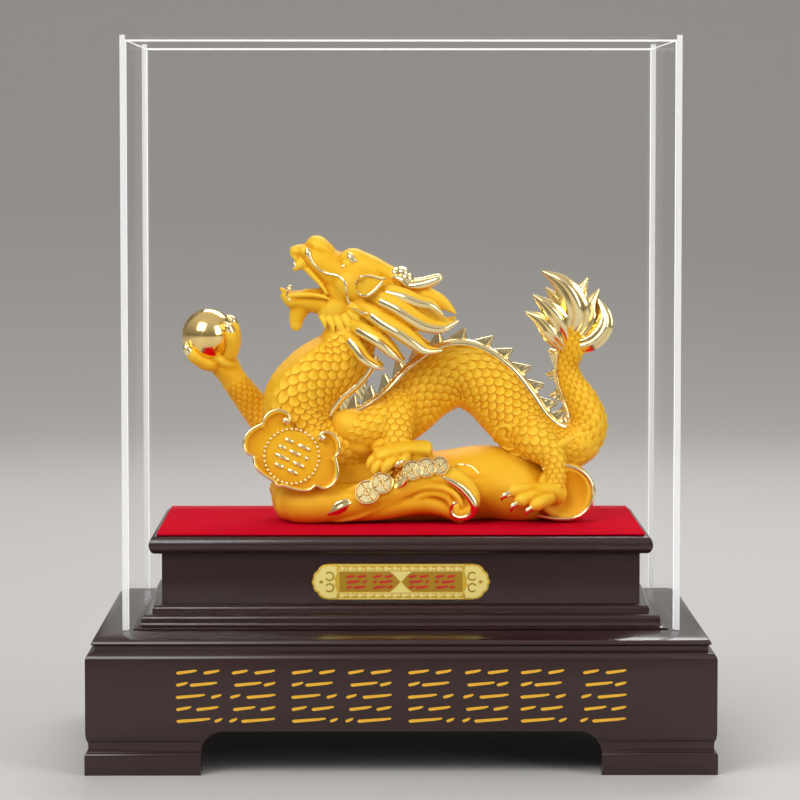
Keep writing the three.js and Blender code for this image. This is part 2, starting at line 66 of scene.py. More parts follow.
def face_out(piece):
    only(piece)
    bpy.ops.object.mode_set(mode="EDIT")
    bpy.ops.mesh.select_all(action="SELECT")
    bpy.ops.mesh.normals_make_consistent(inside=False)
    bpy.ops.object.mode_set(mode="OBJECT")
    return piece


def drawn_out(name, points, faces, way):
    # Flat outlines, drawn out one way into closed blocks.
    made = new_piece(name, points, faces)
    only(made)
    bpy.ops.object.mode_set(mode="EDIT")
    bpy.ops.mesh.select_all(action="SELECT")
    bpy.ops.mesh.extrude_region_move(TRANSFORM_OT_translate={"value": way})
    bpy.ops.object.mode_set(mode="OBJECT")
    return face_out(made)


def slab(name, size, middle):
    # A plain block, by its size and its middle in millimetres.
    alone()
    bpy.ops.mesh.primitive_cube_add(size=1, location=[v * MM for v in middle])
    made = bpy.context.object
    made.name = name
    made.scale = [v * MM for v in size]
    bpy.ops.object.transform_apply(location=True, rotation=False, scale=True)
    return made


def cut_away(block, cutter):
    only(block)
    knife = block.modifiers.new("cut", "BOOLEAN")
    knife.operation = "DIFFERENCE"
    knife.solver = "EXACT"
    knife.object = cutter
    bpy.ops.object.modifier_apply(modifier=knife.name)
    bpy.data.objects.remove(cutter, do_unlink=True)


def moulded_box(name, width, depth, profile):
    # The profile is a list of (inset, height) in millimetres, drawn up the side of the box.
    alone()
    inset, z = profile[0]
    bpy.ops.mesh.primitive_plane_add(size=1, location=(0, 0, z * MM))
    block = bpy.context.object
    block.name = name
    block.scale = ((width - 2 * inset) * MM, (depth - 2 * inset) * MM, 1)
    bpy.ops.object.transform_apply(location=True, rotation=False, scale=True)
    bpy.ops.object.mode_set(mode="EDIT")
    bpy.ops.mesh.select_all(action="SELECT")
    for (a, low), (b, high) in zip(profile, profile[1:]):
        bpy.ops.mesh.extrude_region_move(
            TRANSFORM_OT_translate={"value": (0, 0, (high - low) * MM)}
        )
        bpy.ops.transform.resize(
            value=((width - 2 * b) / (width - 2 * a), (depth - 2 * b) / (depth - 2 * a), 1),
            center_override=(0, 0, 0),
        )
    bpy.ops.object.mode_set(mode="OBJECT")
    return face_out(block)


def soften(piece, width, angle=50, segments=3):
    only(piece)
    edge = piece.modifiers.new("soft edges", "BEVEL")
    edge.width = width * MM
    edge.segments = segments
    edge.limit_method = "ANGLE"
    edge.angle_limit = math.radians(angle)
    bpy.ops.object.modifier_apply(modifier=edge.name)
    bpy.ops.object.shade_smooth_by_angle(angle=math.radians(35))


def round_over(a, b, steps=6, hollow=False):
    # A quarter round from a to b, both (inset, height); hollow gives a cove instead.
    points = []
    for i in range(steps + 1):
        turn = i / steps * math.pi / 2
        along, up = (1 - math.cos(turn), math.sin(turn))
        if hollow:
            along, up = (math.sin(turn), 1 - math.cos(turn))
        points.append((a[0] + (b[0] - a[0]) * along, a[1] + (b[1] - a[1]) * up))
    return points


def dial(node, **values):
    # Sets inputs of a node by name, with _ for a space.
    for socket, value in values.items():
        node.inputs[socket.replace("_", " ")].default_value = value


def wire(tree, *runs):
    # Links nodes; each run is (node, its output, node, its input).
    for source, out, goal, into in runs:
        tree.links.new(source.outputs[out], goal.inputs[into])


def mottle_group():
    group = bpy.data.node_groups.new("soft mottle", "ShaderNodeTree")
    face = group.interface
    face.new_socket("Size", in_out="INPUT", socket_type="NodeSocketFloat").default_value = 30
    face.new_socket("Stretch", in_out="INPUT", socket_type="NodeSocketVector").default_value = (1, 1, 1)
    face.new_socket("Mask", in_out="OUTPUT", socket_type="NodeSocketFloat")
    face.new_socket("Fine", in_out="OUTPUT", socket_type="NodeSocketFloat")
    entry = group.nodes.new("NodeGroupInput")
    out = group.nodes.new("NodeGroupOutput")
    place = group.nodes.new("ShaderNodeTexCoord")
    stretch = group.nodes.new("ShaderNodeVectorMath")
    stretch.operation = "MULTIPLY"
    broad = group.nodes.new("ShaderNodeTexNoise")
    fine = group.nodes.new("ShaderNodeTexNoise")
    more = group.nodes.new("ShaderNodeMath")
    more.operation = "MULTIPLY"
    more.inputs[1].default_value = 22
    dial(broad, Detail=5)
    dial(fine, Detail=3)
    wire(
        group,
        (place, "Object", stretch, 0), (entry, "Stretch", stretch, 1),
        (stretch, 0, broad, "Vector"), (stretch, 0, fine, "Vector"),
        (entry, "Size", broad, "Scale"), (entry, "Size", more, 0), (more, 0, fine, "Scale"),
        (broad, "Fac", out, "Mask"), (fine, "Fac", out, "Fine"),
    )
    return group


mottle = mottle_group()


def plain_finish(name, **values):
    made = bpy.data.materials.new(name)
    made.use_nodes = True
    dial(made.node_tree.nodes["Principled BSDF"], **values)
    return made


def finish_of(name, colour, other, rough, metal=0.0, size=30, stretch=(1, 1, 1), grain=0.1, depth=0.2,
    **fixed):
    # One finish: two close colours in a soft mottle, a roughness that wanders, and a fine grain.
    made = plain_finish(name, Metallic=metal, **fixed)
    nodes = made.node_tree.nodes
    skin = nodes["Principled BSDF"]
    pattern = nodes.new("ShaderNodeGroup")
    pattern.node_tree = mottle
    dial(pattern, Size=size, Stretch=stretch)
    tint = nodes.new("ShaderNodeMix")
    tint.data_type = "RGBA"
    dial(tint, A=(*colour, 1), B=(*other, 1))
    worn = nodes.new("ShaderNodeMapRange")
    dial(worn, To_Min=rough[0], To_Max=rough[1])
    relief = nodes.new("ShaderNodeBump")
    dial(relief, Strength=grain, Distance=depth * MM)
    wire(
        made.node_tree,
        (pattern, "Mask", tint, "Factor"), (tint, "Result", skin, "Base Color"),
        (pattern, "Mask", worn, "Value"), (worn, "Result", skin, "Roughness"),
        (pattern, "Fine", relief, "Height"), (relief, "Normal", skin, "Normal"),
    )
    return made


def wear(piece, finish):
    piece.data.materials.clear()
    piece.data.materials.append(finish)
    return piece


def stand_for(node, piece):
    # The piece takes the place of its node and stays with the ornament.
    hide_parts(node)
    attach(piece, "root")


def joined(first, *others):
    alone()
    for piece in (first, *others):
        piece.select_set(True)
    bpy.context.view_layer.objects.active = first
    bpy.ops.object.join()
    return first


lacquer = finish_of(
    "dark lacquer", (0.018, 0.0028, 0.0034), (0.027, 0.0056, 0.006), (0.26, 0.4),
    size=14, stretch=(0.25, 1, 1), grain=0.05, depth=0.1,
    Coat_Weight=0.75, Coat_Roughness=0.16, Specular_IOR_Level=0.3,
)

STEP = (300, 200)
lower_step = moulded_box("lower_step", *STEP, (
    [(0, 0), (0, 9)] + round_over((0, 9), (1.5, 10.8))[1:]
    + [(1.8, 13), (1.5, 16)] + round_over((1.5, 16), (0.4, 21), hollow=True)[1:]
    + [(0.4, 54.5)] + round_over((0.4, 54.5), (3.6, 58.2))[1:]
    + [(4.6, 58.6), (4.6, 60.8)] + round_over((4.6, 60.8), (3, 61.8), 3)[1:]
    + round_over((3, 62), (15, 66.5), 8)[1:] + [(24, 66.5)]
))


def arch_cutter(span, length, along_x):
    # The opening between two feet, run right through the box; its upper corners are rounded.
    half, top, r = span / 2, 21, 11
    rim = [(-half, -2), (half, -2), (half, top - r)]
    for a in np.linspace(0.1, math.pi / 2, 8):
        rim.append((half - r + r * math.cos(a), top - r + r * math.sin(a)))
    rim += [(-x, z) for x, z in rim[:1:-1]]
    start, way = -length / 2 * MM, length * MM
    if along_x:
        points = [(start, x * MM, z * MM) for x, z in rim]
    else:
        points = [(x * MM, start, z * MM) for x, z in rim]
    return drawn_out("arch", points, [list(range(len(points)))], (way, 0, 0) if along_x else (0, way, 0))


FRONT_ARCH, SIDE_ARCH, UNDERSIDE = 190, 90, (268, 168, 22)
cut_away(lower_step, arch_cutter(FRONT_ARCH, 210, False))
cut_away(lower_step, arch_cutter(SIDE_ARCH, 310, True))
cut_away(lower_step, slab("recess", UNDERSIDE, (0, 0, 10)))
soften(lower_step, 0.7)


def pressed(name, outlines, front, thick):
    # Flat shapes given as outlines in (x, z), cut from sheet and laid with their faces at y = front.
    points, faces = [], []
    for line in outlines:
        faces.append(list(range(len(points), len(points) + len(line))))
        points += [(x * MM, (front + thick) * MM, z * MM) for x, z in line]
    return drawn_out(name, points, faces, (0, -thick * MM, 0))


def stroke(x, z, long, wide, rise=0.0):
    # One brush stroke: a thin bar with a rounded start and a tapered end, tipped up by rise.
    half = long / 2
    line = [
        (-half, -0.3 * wide), (-half + 0.5 * wide, -0.6 * wide), (half * 0.6, -0.42 * wide),
        (half, -0.1 * wide), (half + 0.2 * wide, 0.25 * wide), (half - 0.4 * wide, 0.5 * wide),
        (-half + 0.4 * wide, 0.5 * wide), (-half - 0.2 * wide, 0.2 * wide),
    ]
    return [(x + a, z + b + a / half * rise) for a, b in line]


gilt_paint = finish_of(
    "gilt paint", (0.86, 0.43, 0.022), (0.94, 0.54, 0.045), (0.3, 0.45), 0.25, size=120, grain=0.1,
    depth=0.08,
)
# Plain gilt strokes stand on the front in eight groups of five rows: (height, (place, length) pairs).
GROUPS = (-96.1, -69.9, -41.5, -15, 13.6, 40.3, 66.8, 96.1)
ROWS = (
    (49.4, ((-5.4, 9.4), (6.4, 7.2))),
    (43.6, ((-7.6, 5.2), (2.6, 12.6))),
    (37.8, ((-3.6, 13.4), (8.6, 4.6))),
    (32.0, ((-6.8, 6.8), (4.4, 10.2))),
    (26.4, ((-2.2, 15.6), (9.6, 3.4))),
)
marks = []
for k, middle in enumerate(GROUPS):
    turn_over = -1 if k % 2 else 1
    for z, parts in ROWS:
        for x, long in parts:
            marks.append(stroke(middle + turn_over * x, z, long, 1.35, 0.5))
gilt_rows = pressed("gilt_rows", marks, -99.85, 0.6)
joined(wear(lower_step, lacquer), wear(gilt_rows, gilt_paint))
stand_for("plinth_lower_step", lower_step)

# RAISED TIER. A second box of board set back on the lower step, with a stepped skirting round its
# foot. It wears the same lacquer, and it carries the name plate on its front.
raised_tier = moulded_box("raised_tier", *STEP, (
    [(22, 66.8), (22, 67.2)] + round_over((22, 67.2), (25.6, 69.6), 5, hollow=True)[1:]
    + [(25.6, 71)] + round_over((25.6, 71), (27.8, 73.2))[1:]
    + [(30.4, 73.4), (30.6, 73.6), (30.6, 75.2)] + round_over((30.6, 75.2), (32.6, 77.2))[1:]
    + [(34.8, 77.4), (35, 77.6), (35, 101.7)]
))
soften(raised_tier, 0.5)
stand_for("plinth_raised_tier", wear(raised_tier, lacquer))

# TOP BOARD. One thick board with a half-round nosing on all four edges, glued on the tier.
# It is lacquered with the rest, and its upper face is let down a hair for the velvet.
nosing = [
    (29 + 3.2 * (1 - math.sin(turn)), 102 + 4.2 * (1 - math.cos(turn)))
    for turn in np.linspace(0, math.pi, 17)
]
top_board = moulded_box("top_board", *STEP, [(34, 102)] + nosing)
soften(top_board, 0.4, angle=70)
stand_for("plinth_top_board", wear(top_board, lacquer))

# VELVET. Red velvet glued over the top board, cut just short of the nosing, its edge pressed down.
# The short pile catches the light at a grazing view and lies in faint, uneven brush marks.
VELVET = (235, 135)
velvet = slab("velvet", (*VELVET, 1), (0, 0, 111.2))
soften(velvet, 0.45)
pile = finish_of(
    "red velvet", (0.52, 0.0004, 0.013), (0.63, 0.001, 0.02), (0.85, 0.95),
    size=55, grain=0.6, depth=0.25, Sheen_Weight=0.03, Sheen_Roughness=0.45,
    Sheen_Tint=(1, 0.05, 0.12, 1), Specular_IOR_Level=0.03,
)
stand_for("velvet_top", wear(velvet, pile))

# DRAGON. One gilt casting: body, head, mane, legs, fins and tail tuft, with the ruyi sceptre that it
# stands on and its string of coins. The ground is a fine sandy gold; edges, fins, horns and nails are
# polished bright. Every part of it is drawn in millimetres from the middle of the velvet.
FLOOR = 112.0
MID = -6  # the plane through the middle of the head


def through(points, step):
    # An even walk along a smooth curve through the points; each row keeps its further numbers.
    p = np.array(points, float)
    p = np.vstack([2 * p[0] - p[1], p, 2 * p[-1] - p[-2]])
    rows = []
    for i in range(1, len(p) - 2):
        a, b, c, d = p[i - 1], p[i], p[i + 1], p[i + 2]
        gap = [max(np.linalg.norm(v[:3]) ** 0.5, 1e-4) for v in (b - a, c - b, d - c)]
        m1 = ((b - a) / gap[0] - (c - a) / (gap[0] + gap[1]) + (c - b) / gap[1]) * gap[1]
        m2 = ((c - b) / gap[1] - (d - b) / (gap[1] + gap[2]) + (d - c) / gap[2]) * gap[1]
        for w in np.linspace(0, 1, 16, endpoint=False):
            rows.append(b + m1 * w + (3 * (c - b) - 2 * m1 - m2) * w**2 + (2 * (b - c) + m1 + m2) * w**3)
    rows.append(p[-2])
    rows = np.array(rows)
    run = np.concatenate([[0], np.cumsum(np.linalg.norm(np.diff(rows[:, :3], axis=0), axis=1))])
    count = max(2, int(round(run[-1] / step)) + 1)
    even = np.linspace(0, run[-1], count)
    return np.stack([np.interp(even, run, rows[:, k]) for k in range(rows.shape[1])], axis=1), even


def frames(path, across=(0, 1, 0)):
    ahead = np.gradient(path[:, :3], axis=0)
    ahead /= np.linalg.norm(ahead, axis=1)[:, None]
    side = np.array(across, float) - ahead * (ahead @ np.array(across, float))[:, None]
    side /= np.linalg.norm(side, axis=1)[:, None]
    return ahead, side, np.cross(ahead, side)


def skin_rings(rings):
    # Rings of points, first to last, sewn into one closed skin with a pole at each end.
    rings = np.array(rings)
    count, around = rings.shape[:2]
    points = rings.reshape(-1, 3)
    faces = []
    for k in range(count - 1):
        for j in range(around):
            n = (j + 1) % around
            faces.append((k * around + j, k * around + n, (k + 1) * around + n, (k + 1) * around + j))
    ends = np.vstack([rings[0].mean(axis=0), rings[-1].mean(axis=0)])
    first, last = len(points), len(points) + 1
    for j in range(around):
        n = (j + 1) % around
        faces.append((first, n, j))
        faces.append((last, (count - 1) * around + j, (count - 1) * around + n))
    return np.vstack([points, ends]), faces


def swept(points, around=14, step=1.4, broad=1.0, across=(0, 1, 0), section=None):
    # points are [x, y, z, half height]; broad is the half width in parts of the half height.
    rows = [list(p) + [b] for p, b in zip(points, np.broadcast_to(broad, len(points)))]
    path, _ = through(rows, step)
    ahead, side, up = frames(path, across)
    turn = np.arange(around) / around * 2 * math.pi
    shape = np.ones(around) if section is None else section(turn)
    rings = []
    for row, s, u in zip(path, side, up):
        r = max(row[3], 0.15)
        high = (np.cos(turn) * shape)[:, None] * u * r
        wide = (np.sin(turn) * shape)[:, None] * s * r * row[4]
        rings.append(row[:3] + high + wide)
    return skin_rings(rings)


def grooved(*waves):
    # A cross-section with grooves along it; each wave is (depth, number round).
    return lambda turn: sum((deep * np.cos(number * turn) for deep, number in waves), 1)


def egg(middle, half, pitch=0.0, around=24, rings=14):
    turn = np.arange(around) / around * 2 * math.pi
    rows = []
    for t in np.linspace(0, math.pi, rings + 1)[1:-1]:
        ring = [np.sin(t) * np.cos(turn), np.sin(t) * np.sin(turn), np.full(around, -np.cos(t))]
        rows.append(np.stack(ring, axis=1))
    points, faces = skin_rings(rows)
    points[-2], points[-1] = (0, 0, -1), (0, 0, 1)
    points = points * np.array(half)
    c, s = math.cos(math.radians(pitch)), math.sin(math.radians(pitch))
    turned = points.copy()
    turned[:, 0] = points[:, 0] * c + points[:, 2] * s
    turned[:, 2] = -points[:, 0] * s + points[:, 2] * c
    return turned + np.array(middle), faces


def body_of_shells(name, shells):
    points, faces, start = [], [], 0
    for p, f in shells:
        points.append(p)
        faces += [tuple(i + start for i in face) for face in f]
        start += len(p)
    points = (np.vstack(points) + (0, 0, FLOOR)) * MM
    return face_out(new_piece(name, points.tolist(), faces))


def fuse(made, grain, passes, keep):
    # Melts overlapping shells into one modelled surface, as wax is worked, rubs it smooth and keeps
    # that part of its faces.
    only(made)
    made.data.remesh_voxel_size = grain * MM
    made.data.remesh_voxel_adaptivity = 0
    bpy.ops.object.voxel_remesh()
    rub = made.modifiers.new("rub", "SMOOTH")
    rub.factor = 0.5
    rub.iterations = passes
    bpy.ops.object.modifier_apply(modifier=rub.name)
    thin = made.modifiers.new("thin", "DECIMATE")
    thin.ratio = keep
    bpy.ops.object.modifier_apply(modifier=thin.name)


casting = []

# The body is a tube of overlapping scales from the nape to the tail tuft. Each scale is a rounded
# tongue that lifts towards the tail; the belly carries broad smooth plates in their place.
SPINE = [
    (-10.5, -6, 111.5, 7), (-16.5, -6, 102.5, 11.5), (-23.5, -6, 92, 12.5), (-29, -6, 81.5, 14),
    (-43, -6, 70.5, 15.5), (-51, -5, 58, 16.5), (-48, -4, 43.5, 16), (-33.5, -2, 36.5, 14),
    (-16.5, 0, 41, 12.5), (2, 3, 52, 13), (15.5, 5, 64.5, 14), (29.5, 6, 71, 15), (43.5, 5, 64.5, 14.5),
    (53, 3, 54, 14), (64, 0, 41.5, 12.5), (77.5, -1, 35, 10.5), (89, 1, 37, 9.5), (94.5, 4, 46.5, 9),
    (91, 7, 58.5, 7.5), (86, 9, 67.5, 6), (84, 9, 76, 5), (86, 8, 84, 6), (85, 7, 92, 5.4),
    (85.2, 6, 98.5, 4.6), (85.4, 5, 102.5, 1.5),
]


def scaled_hide(stations, around, lift, pitch, belly=0.0, broad=1.0, span=(0, 1)):
    # around scales stand in a row, rows lie pitch[0] + pitch[1] * radius apart, and lift is how far
    # a scale's tip stands off; belly is the half angle of the smooth plates; span trims both ends.
    path, run = through([list(p) + [b] for p, b in zip(stations, np.broadcast_to(broad, len(stations)))], 0.5)
    _, side, up = frames(path)
    columns = around * 6
    turn = np.arange(columns) / columns * 2 * math.pi

    def at(s, height):
        s = np.clip(s, 0, run[-1])
        spot = np.stack([np.interp(s, run, path[:, k]) for k in range(5)], axis=1)
        sd = np.stack([np.interp(s, run, side[:, k]) for k in range(3)], axis=1)
        u = np.stack([np.interp(s, run, up[:, k]) for k in range(3)], axis=1)
        r = spot[:, 3] + height
        return spot[:, :3] + (np.cos(turn) * r)[:, None] * u + (np.sin(turn) * r * spot[:, 4])[:, None] * sd

    under = np.clip((belly - np.abs(turn - math.pi)) / 0.12, 0, 1)
    start, end = span[0] * run[-1], span[1] * run[-1]
    rings, s, k = [], start, 0
    before = np.full(columns, start)
    while s < end:
        r = float(np.interp(s, run, path[:, 3]))
        row = pitch[0] + pitch[1] * r
        wide = 2 * math.pi * r / around
        cell = (turn * around / (2 * math.pi) + 0.5 * (k % 2)) % 1.0
        tongue = np.sqrt(np.clip(1 - (2 * cell - 1) ** 2, 0, 1))
        edge = s + min(0.6 * wide, 0.94 * row) * (tongue * (1 - under) + 0.5 * under)
        high = lift * (0.35 + 0.05 * r) * (0.1 + 0.9 * tongue) * (1 - under)
        rings.append(at(before, 0.8 * under))
        rings.append(at(edge, high + 0.8 * under))
        before = edge
        s += row
        k += 1
    rings.append(at(before, -0.1))
    return skin_rings(rings)


hide = body_of_shells("hide", [
    scaled_hide(SPINE, 17, 0.7, (1.3, 0.15), belly=0.9, span=(0, 0.79)),
    scaled_hide(SPINE, 10, 0.9, (2.0, 0.1), span=(0.77, 1)),
])
casting.append(hide)

# The far foreleg is raised behind the chest and ends in the claw that cups the pearl; the near one
# stands on the sceptre. The hind legs stand one on each flank. All carry finer scales.
RAISED_ARM = [
    (-50, 7, 42, 10), (-63, 11, 46, 9.5), (-71, 12, 53, 7.6), (-78, 10.5, 62, 6.6), (-83.5, 8, 69.5, 6),
]
FORE_LEG = [
    (1.5, -4, 60, 7.5), (-0.5, -10.5, 54, 8.2), (-1.6, -14, 47, 8), (-2, -16, 41, 7.3),
    (-2, -17, 36, 6.8),
]
HIND_LEG = [
    (60, -6, 46, 9), (67, -13, 40, 9.2), (74.6, -17, 32.4, 7), (76.6, -19, 25, 5.4),
    (76.4, -20, 17, 4.9),
]


def far(points):
    return [(x, -y, z, *rest) for x, y, z, *rest in points]


ELBOW = [
    (0, -5, 53, 7.5), (-7, -9.6, 50, 9), (-15, -11, 46.6, 9), (-23, -10.6, 44.4, 7.6),
    (-29, -9, 43, 4.6),
]
limbs = body_of_shells("limbs", [
    scaled_hide(ELBOW, 12, 0.42, (1.4, 0.2), broad=0.95),
    scaled_hide(RAISED_ARM, 11, 0.8, (1.3, 0.18)),
    scaled_hide(FORE_LEG, 11, 0.8, (1.0, 0.2), broad=0.9),
    scaled_hide(HIND_LEG, 10, 0.85, (1.2, 0.22), broad=0.85),
    scaled_hide(far(HIND_LEG), 10, 0.85, (1.2, 0.22), broad=0.85),
])
casting.append(limbs)


def surface_of(piece):
    mesh = piece.data
    return BVHTree.FromPolygons([v.co for v in mesh.vertices], [p.vertices[:] for p in mesh.polygons])


def laid_on(surface, line, flank=-1, sink=0.2):
    # Drops a line of (x, z, size) on the flank of a form; a point that misses takes its neighbour's depth.
    depths = []
    for x, z, r in line:
        hit = surface.ray_cast(Vector((x, flank * 90, z + FLOOR)) * MM, Vector((0, -flank, 0)))[0]
        depths.append(None if hit is None else hit.y / MM - flank * sink)
    met = [k for k, y in enumerate(depths) if y is not None]
    return [(x, depths[min(met, key=lambda m: abs(m - k))], z, r) for k, (x, z, r) in enumerate(line)]


# The muscles of the haunches are chased as low scrolls, with a ruffled edge below.
HAUNCH = [
    [
        (47.4, 38.6, 0.7), (47, 42, 1.1), (48.6, 45.8, 1.2), (52, 47.2, 1.2), (55.2, 45.4, 1.2),
        (56, 42, 1.1), (53.8, 39.8, 1), (51.4, 41, 0.9), (51.8, 43.2, 0.7),
    ],
    [(50.4, 36.6, 0.6), (54, 35.2, 1.1), (58.4, 36.6, 0.7)],
    [(54.4, 33.8, 0.6), (58.4, 32.4, 1.1), (62.8, 34, 0.7)],
    [(59.6, 31.8, 0.6), (63.6, 31, 1.1), (67.4, 33, 0.7)],
    [(57.4, 39.4, 0.6), (60.4, 37.4, 1), (64.4, 37.6, 0.6)],
]
bodies = surface_of(hide)
chased = []
for flank in (-1, 1):
    for line in HAUNCH:
        chased.append(swept(laid_on(bodies, line, flank, 0.55), 10, 0.8))
casting.append(body_of_shells("chased", chased))

# The feet are smooth and sinewy: a heel, a long instep and three or four knuckled toes with nails.
PEARL = (-95.5, 4, 91.5)
PEARL_R = 13.0
FORE_FOOT = [
    (15.6, -17, 35.2, 1.8), (14.8, -17.1, 35.4, 3.6), (13, -17.4, 35.8, 4.5), (9.4, -18.6, 36.2, 4.5),
    (3, -20.6, 36.2, 4.4), (-4, -22.2, 35, 4.7), (-9.6, -23.4, 33, 4.6), (-13, -23.6, 31, 3.2),
]
FORE_TOES = [
    [(-10, -24.4, 32.6, 3.2), (-13.6, -26.4, 31, 3), (-15.2, -27.4, 28.4, 2), (-14.8, -27.8, 26.6, 0.9)],
    [(-7, -26, 32, 3.2), (-11, -28.8, 29.2, 2.9), (-13, -29.8, 26.2, 1.9), (-12.6, -30, 24.6, 0.9)],
    [(-2.4, -26.6, 32.4, 3.2), (-6.2, -29.6, 29.6, 2.9), (-8.2, -30.6, 26.8, 1.9), (-8, -30.8, 25, 0.9)],
    [(3, -25.4, 33.4, 2.9), (0.8, -28.8, 31.2, 2.5), (-0.6, -30.2, 29.2, 1.6), (-0.8, -30.4, 28, 0.8)],
]
HIND_FOOT = [(80, -19, 13, 4.5), (74, -22, 15, 5.4), (66, -26, 14.5, 5), (60, -29, 13, 3)]
HIND_TOES = [
    [(67, -25, 17, 3.2), (59.4, -29, 17, 3.3), (54.6, -30.6, 16.2, 3.1), (52.6, -31, 15.6, 1.6)],
    [(69, -27, 14.4, 3.4), (62, -31, 13.4, 3.5), (58, -33, 11.8, 3.2), (56.2, -33.6, 10.8, 1.6)],
    [(74, -26, 13, 3.2), (69, -31, 11.4, 3.5), (65.4, -33.4, 9.6, 3.1), (63.6, -34, 8.6, 1.6)],
]
HIND_NAILS = [
    [(53.6, -31.4, 15.6, 1.7), (50.4, -31.8, 14.2, 1.5), (49.2, -31.8, 11.8, 0.3)],
    [(57, -34, 10.8, 1.7), (54.6, -34.6, 9.2, 1.4), (54.2, -34.6, 6.6, 0.3)],
    [(64.2, -34.4, 8.6, 1.7), (61.8, -34.9, 7.0, 1.4), (61.4, -34.9, 4.6, 0.3)],
]
PALM_WAY = np.array([0.46, 0.12, -0.88])
PALM_WAY /= np.linalg.norm(PALM_WAY)
FINGER_WAYS = [(-1, -0.75, 0), (0.75, -0.75, 0.4), (0.9, 0.5, 0.5), (-0.6, 1, 0)]


def round_pearl(way, stops):
    out = np.array(way, float)
    out -= PALM_WAY * (out @ PALM_WAY)
    out /= np.linalg.norm(out)
    spots = []
    for degrees, r, off in stops:
        turn = math.radians(degrees)
        spot = np.array(PEARL) + (PALM_WAY * math.cos(turn) + out * math.sin(turn)) * (PEARL_R + off)
        spots.append((*spot, r))
    return spots, tuple(np.cross(out, PALM_WAY))


# Each finger starts on the palm and bends round the ball; its stops are (turn in degrees, radius,
# distance off the ball).
FINGER = [(5, 4.2, 1.6), (32, 3.7, 1.8), (55, 3.1, 1.6), (76, 2.9, 1.6), (86, 2.2, 1.4)]
FINGER_NAIL = [(80, 2.6, 1.9), (92, 2.0, 2.0), (104, 0.3, 1.4)]
fingers, finger_nails = [], []
for way in FINGER_WAYS:
    spots, across = round_pearl(way, FINGER)
    fingers.append(swept(spots, 16, 0.8, 1.1, across))
    spots, across = round_pearl(way, FINGER_NAIL)
    finger_nails.append(swept(spots, 10, 0.7, 1.0, across))
palm = np.array(PEARL) + PALM_WAY * (PEARL_R + 0.8)
feet = body_of_shells("feet", [
    egg(palm, (9.4, 8.6, 4.8), 28), *fingers,
    swept([(-82.5, 8.5, 68, 6), (-86, 7, 74, 7), (-89, 6, 78.5, 7.4)], 16),
])
fuse(feet, grain=0.6, passes=5, keep=0.3)
casting.append(feet)
FOREARM = [
    (-32.5, -6.6, 49.4, 5), (-27, -9.2, 47.6, 8.2), (-19, -10.6, 44.2, 9), (-12, -11.6, 40.8, 6.4),
    (-8.8, -11.6, 39.6, 3.4),
]
HOCK_SPUR = [(76, -18, 36, 3), (80.5, -18.6, 38.8, 2.2), (84.4, -18.8, 41.3, 1.3), (87.8, -18.8, 42.8, 0.3)]
soles = body_of_shells("soles", [
    swept(FORE_FOOT, 18, 1.4, 1.6), *[swept(t, 14) for t in FORE_TOES],
    egg((4.4, -18.4, 32.6), (11, 7.4, 5.4), 4), egg((-4, -24, 32.4), (9.4, 6.2, 4.8), 12),
    egg((11, -18.6, 38.2), (4.2, 3.6, 2.6), 6), egg((3.4, -20.8, 38.8), (4, 3.4, 2.4), 10),
    egg((-4, -22.6, 37.6), (4.2, 3.4, 2.4), 14), egg((-9.6, -24.6, 35), (4, 3.2, 2.6), 24),
    egg((13.4, -19.4, 33), (3, 3.4, 3.4)), egg((-1.6, -26, 34.6), (4.4, 2.4, 2.2), 12),
    swept(FOREARM, 26, 0.9, 0.85),
    egg((-19, -7, 37.6), (11.6, 9.3, 7), 6, 30, 18), egg((-6, -14, 37.6), (9, 8.4, 5.4), -8),
    swept(HOCK_SPUR, 14, 1.0, 0.8),
    swept(HIND_FOOT, 18), *[swept(t, 14) for t in HIND_TOES],
    swept(far(HIND_FOOT), 18), *[swept(far(t), 14) for t in HIND_TOES],
])
fuse(soles, grain=0.62, passes=5, keep=0.26)
casting.append(soles)

# The head looks up with its mouth open. Skull, snout, jaw, brows and cheeks are worked into one
# smooth form; the mane streams back from it in flat pointed locks.
SKULL = [
    (-54.5, 134, 1.6), (-50, 133, 4.2), (-44.5, 130.5, 6.8), (-37.5, 126.5, 9), (-30.5, 122.5, 11),
    (-22.5, 120.5, 13.4), (-13.5, 116.5, 13.2), (-4.5, 111.5, 12), (2.5, 106.5, 6),
]
SKULL_BROAD = [3, 1.6, 1.25, 1.05, 1.0, 1.0, 1.03, 1.08, 1.0]
JAW = [
    (-58.6, 112.6, 1.4), (-54, 109.8, 4.3), (-47, 108.8, 5.2), (-39.5, 107.8, 5.8), (-30.5, 105.5, 7.5),
    (-22, 104, 6.5),
]
JAW_BROAD = [2.2, 1.4, 1.3, 1.3, 1.32, 1.3]
MANE_BODY = [(-27, 100, 7), (-16, 106, 12), (-2, 106, 11.5), (11, 101, 7.5), (24, 98, 1.5)]
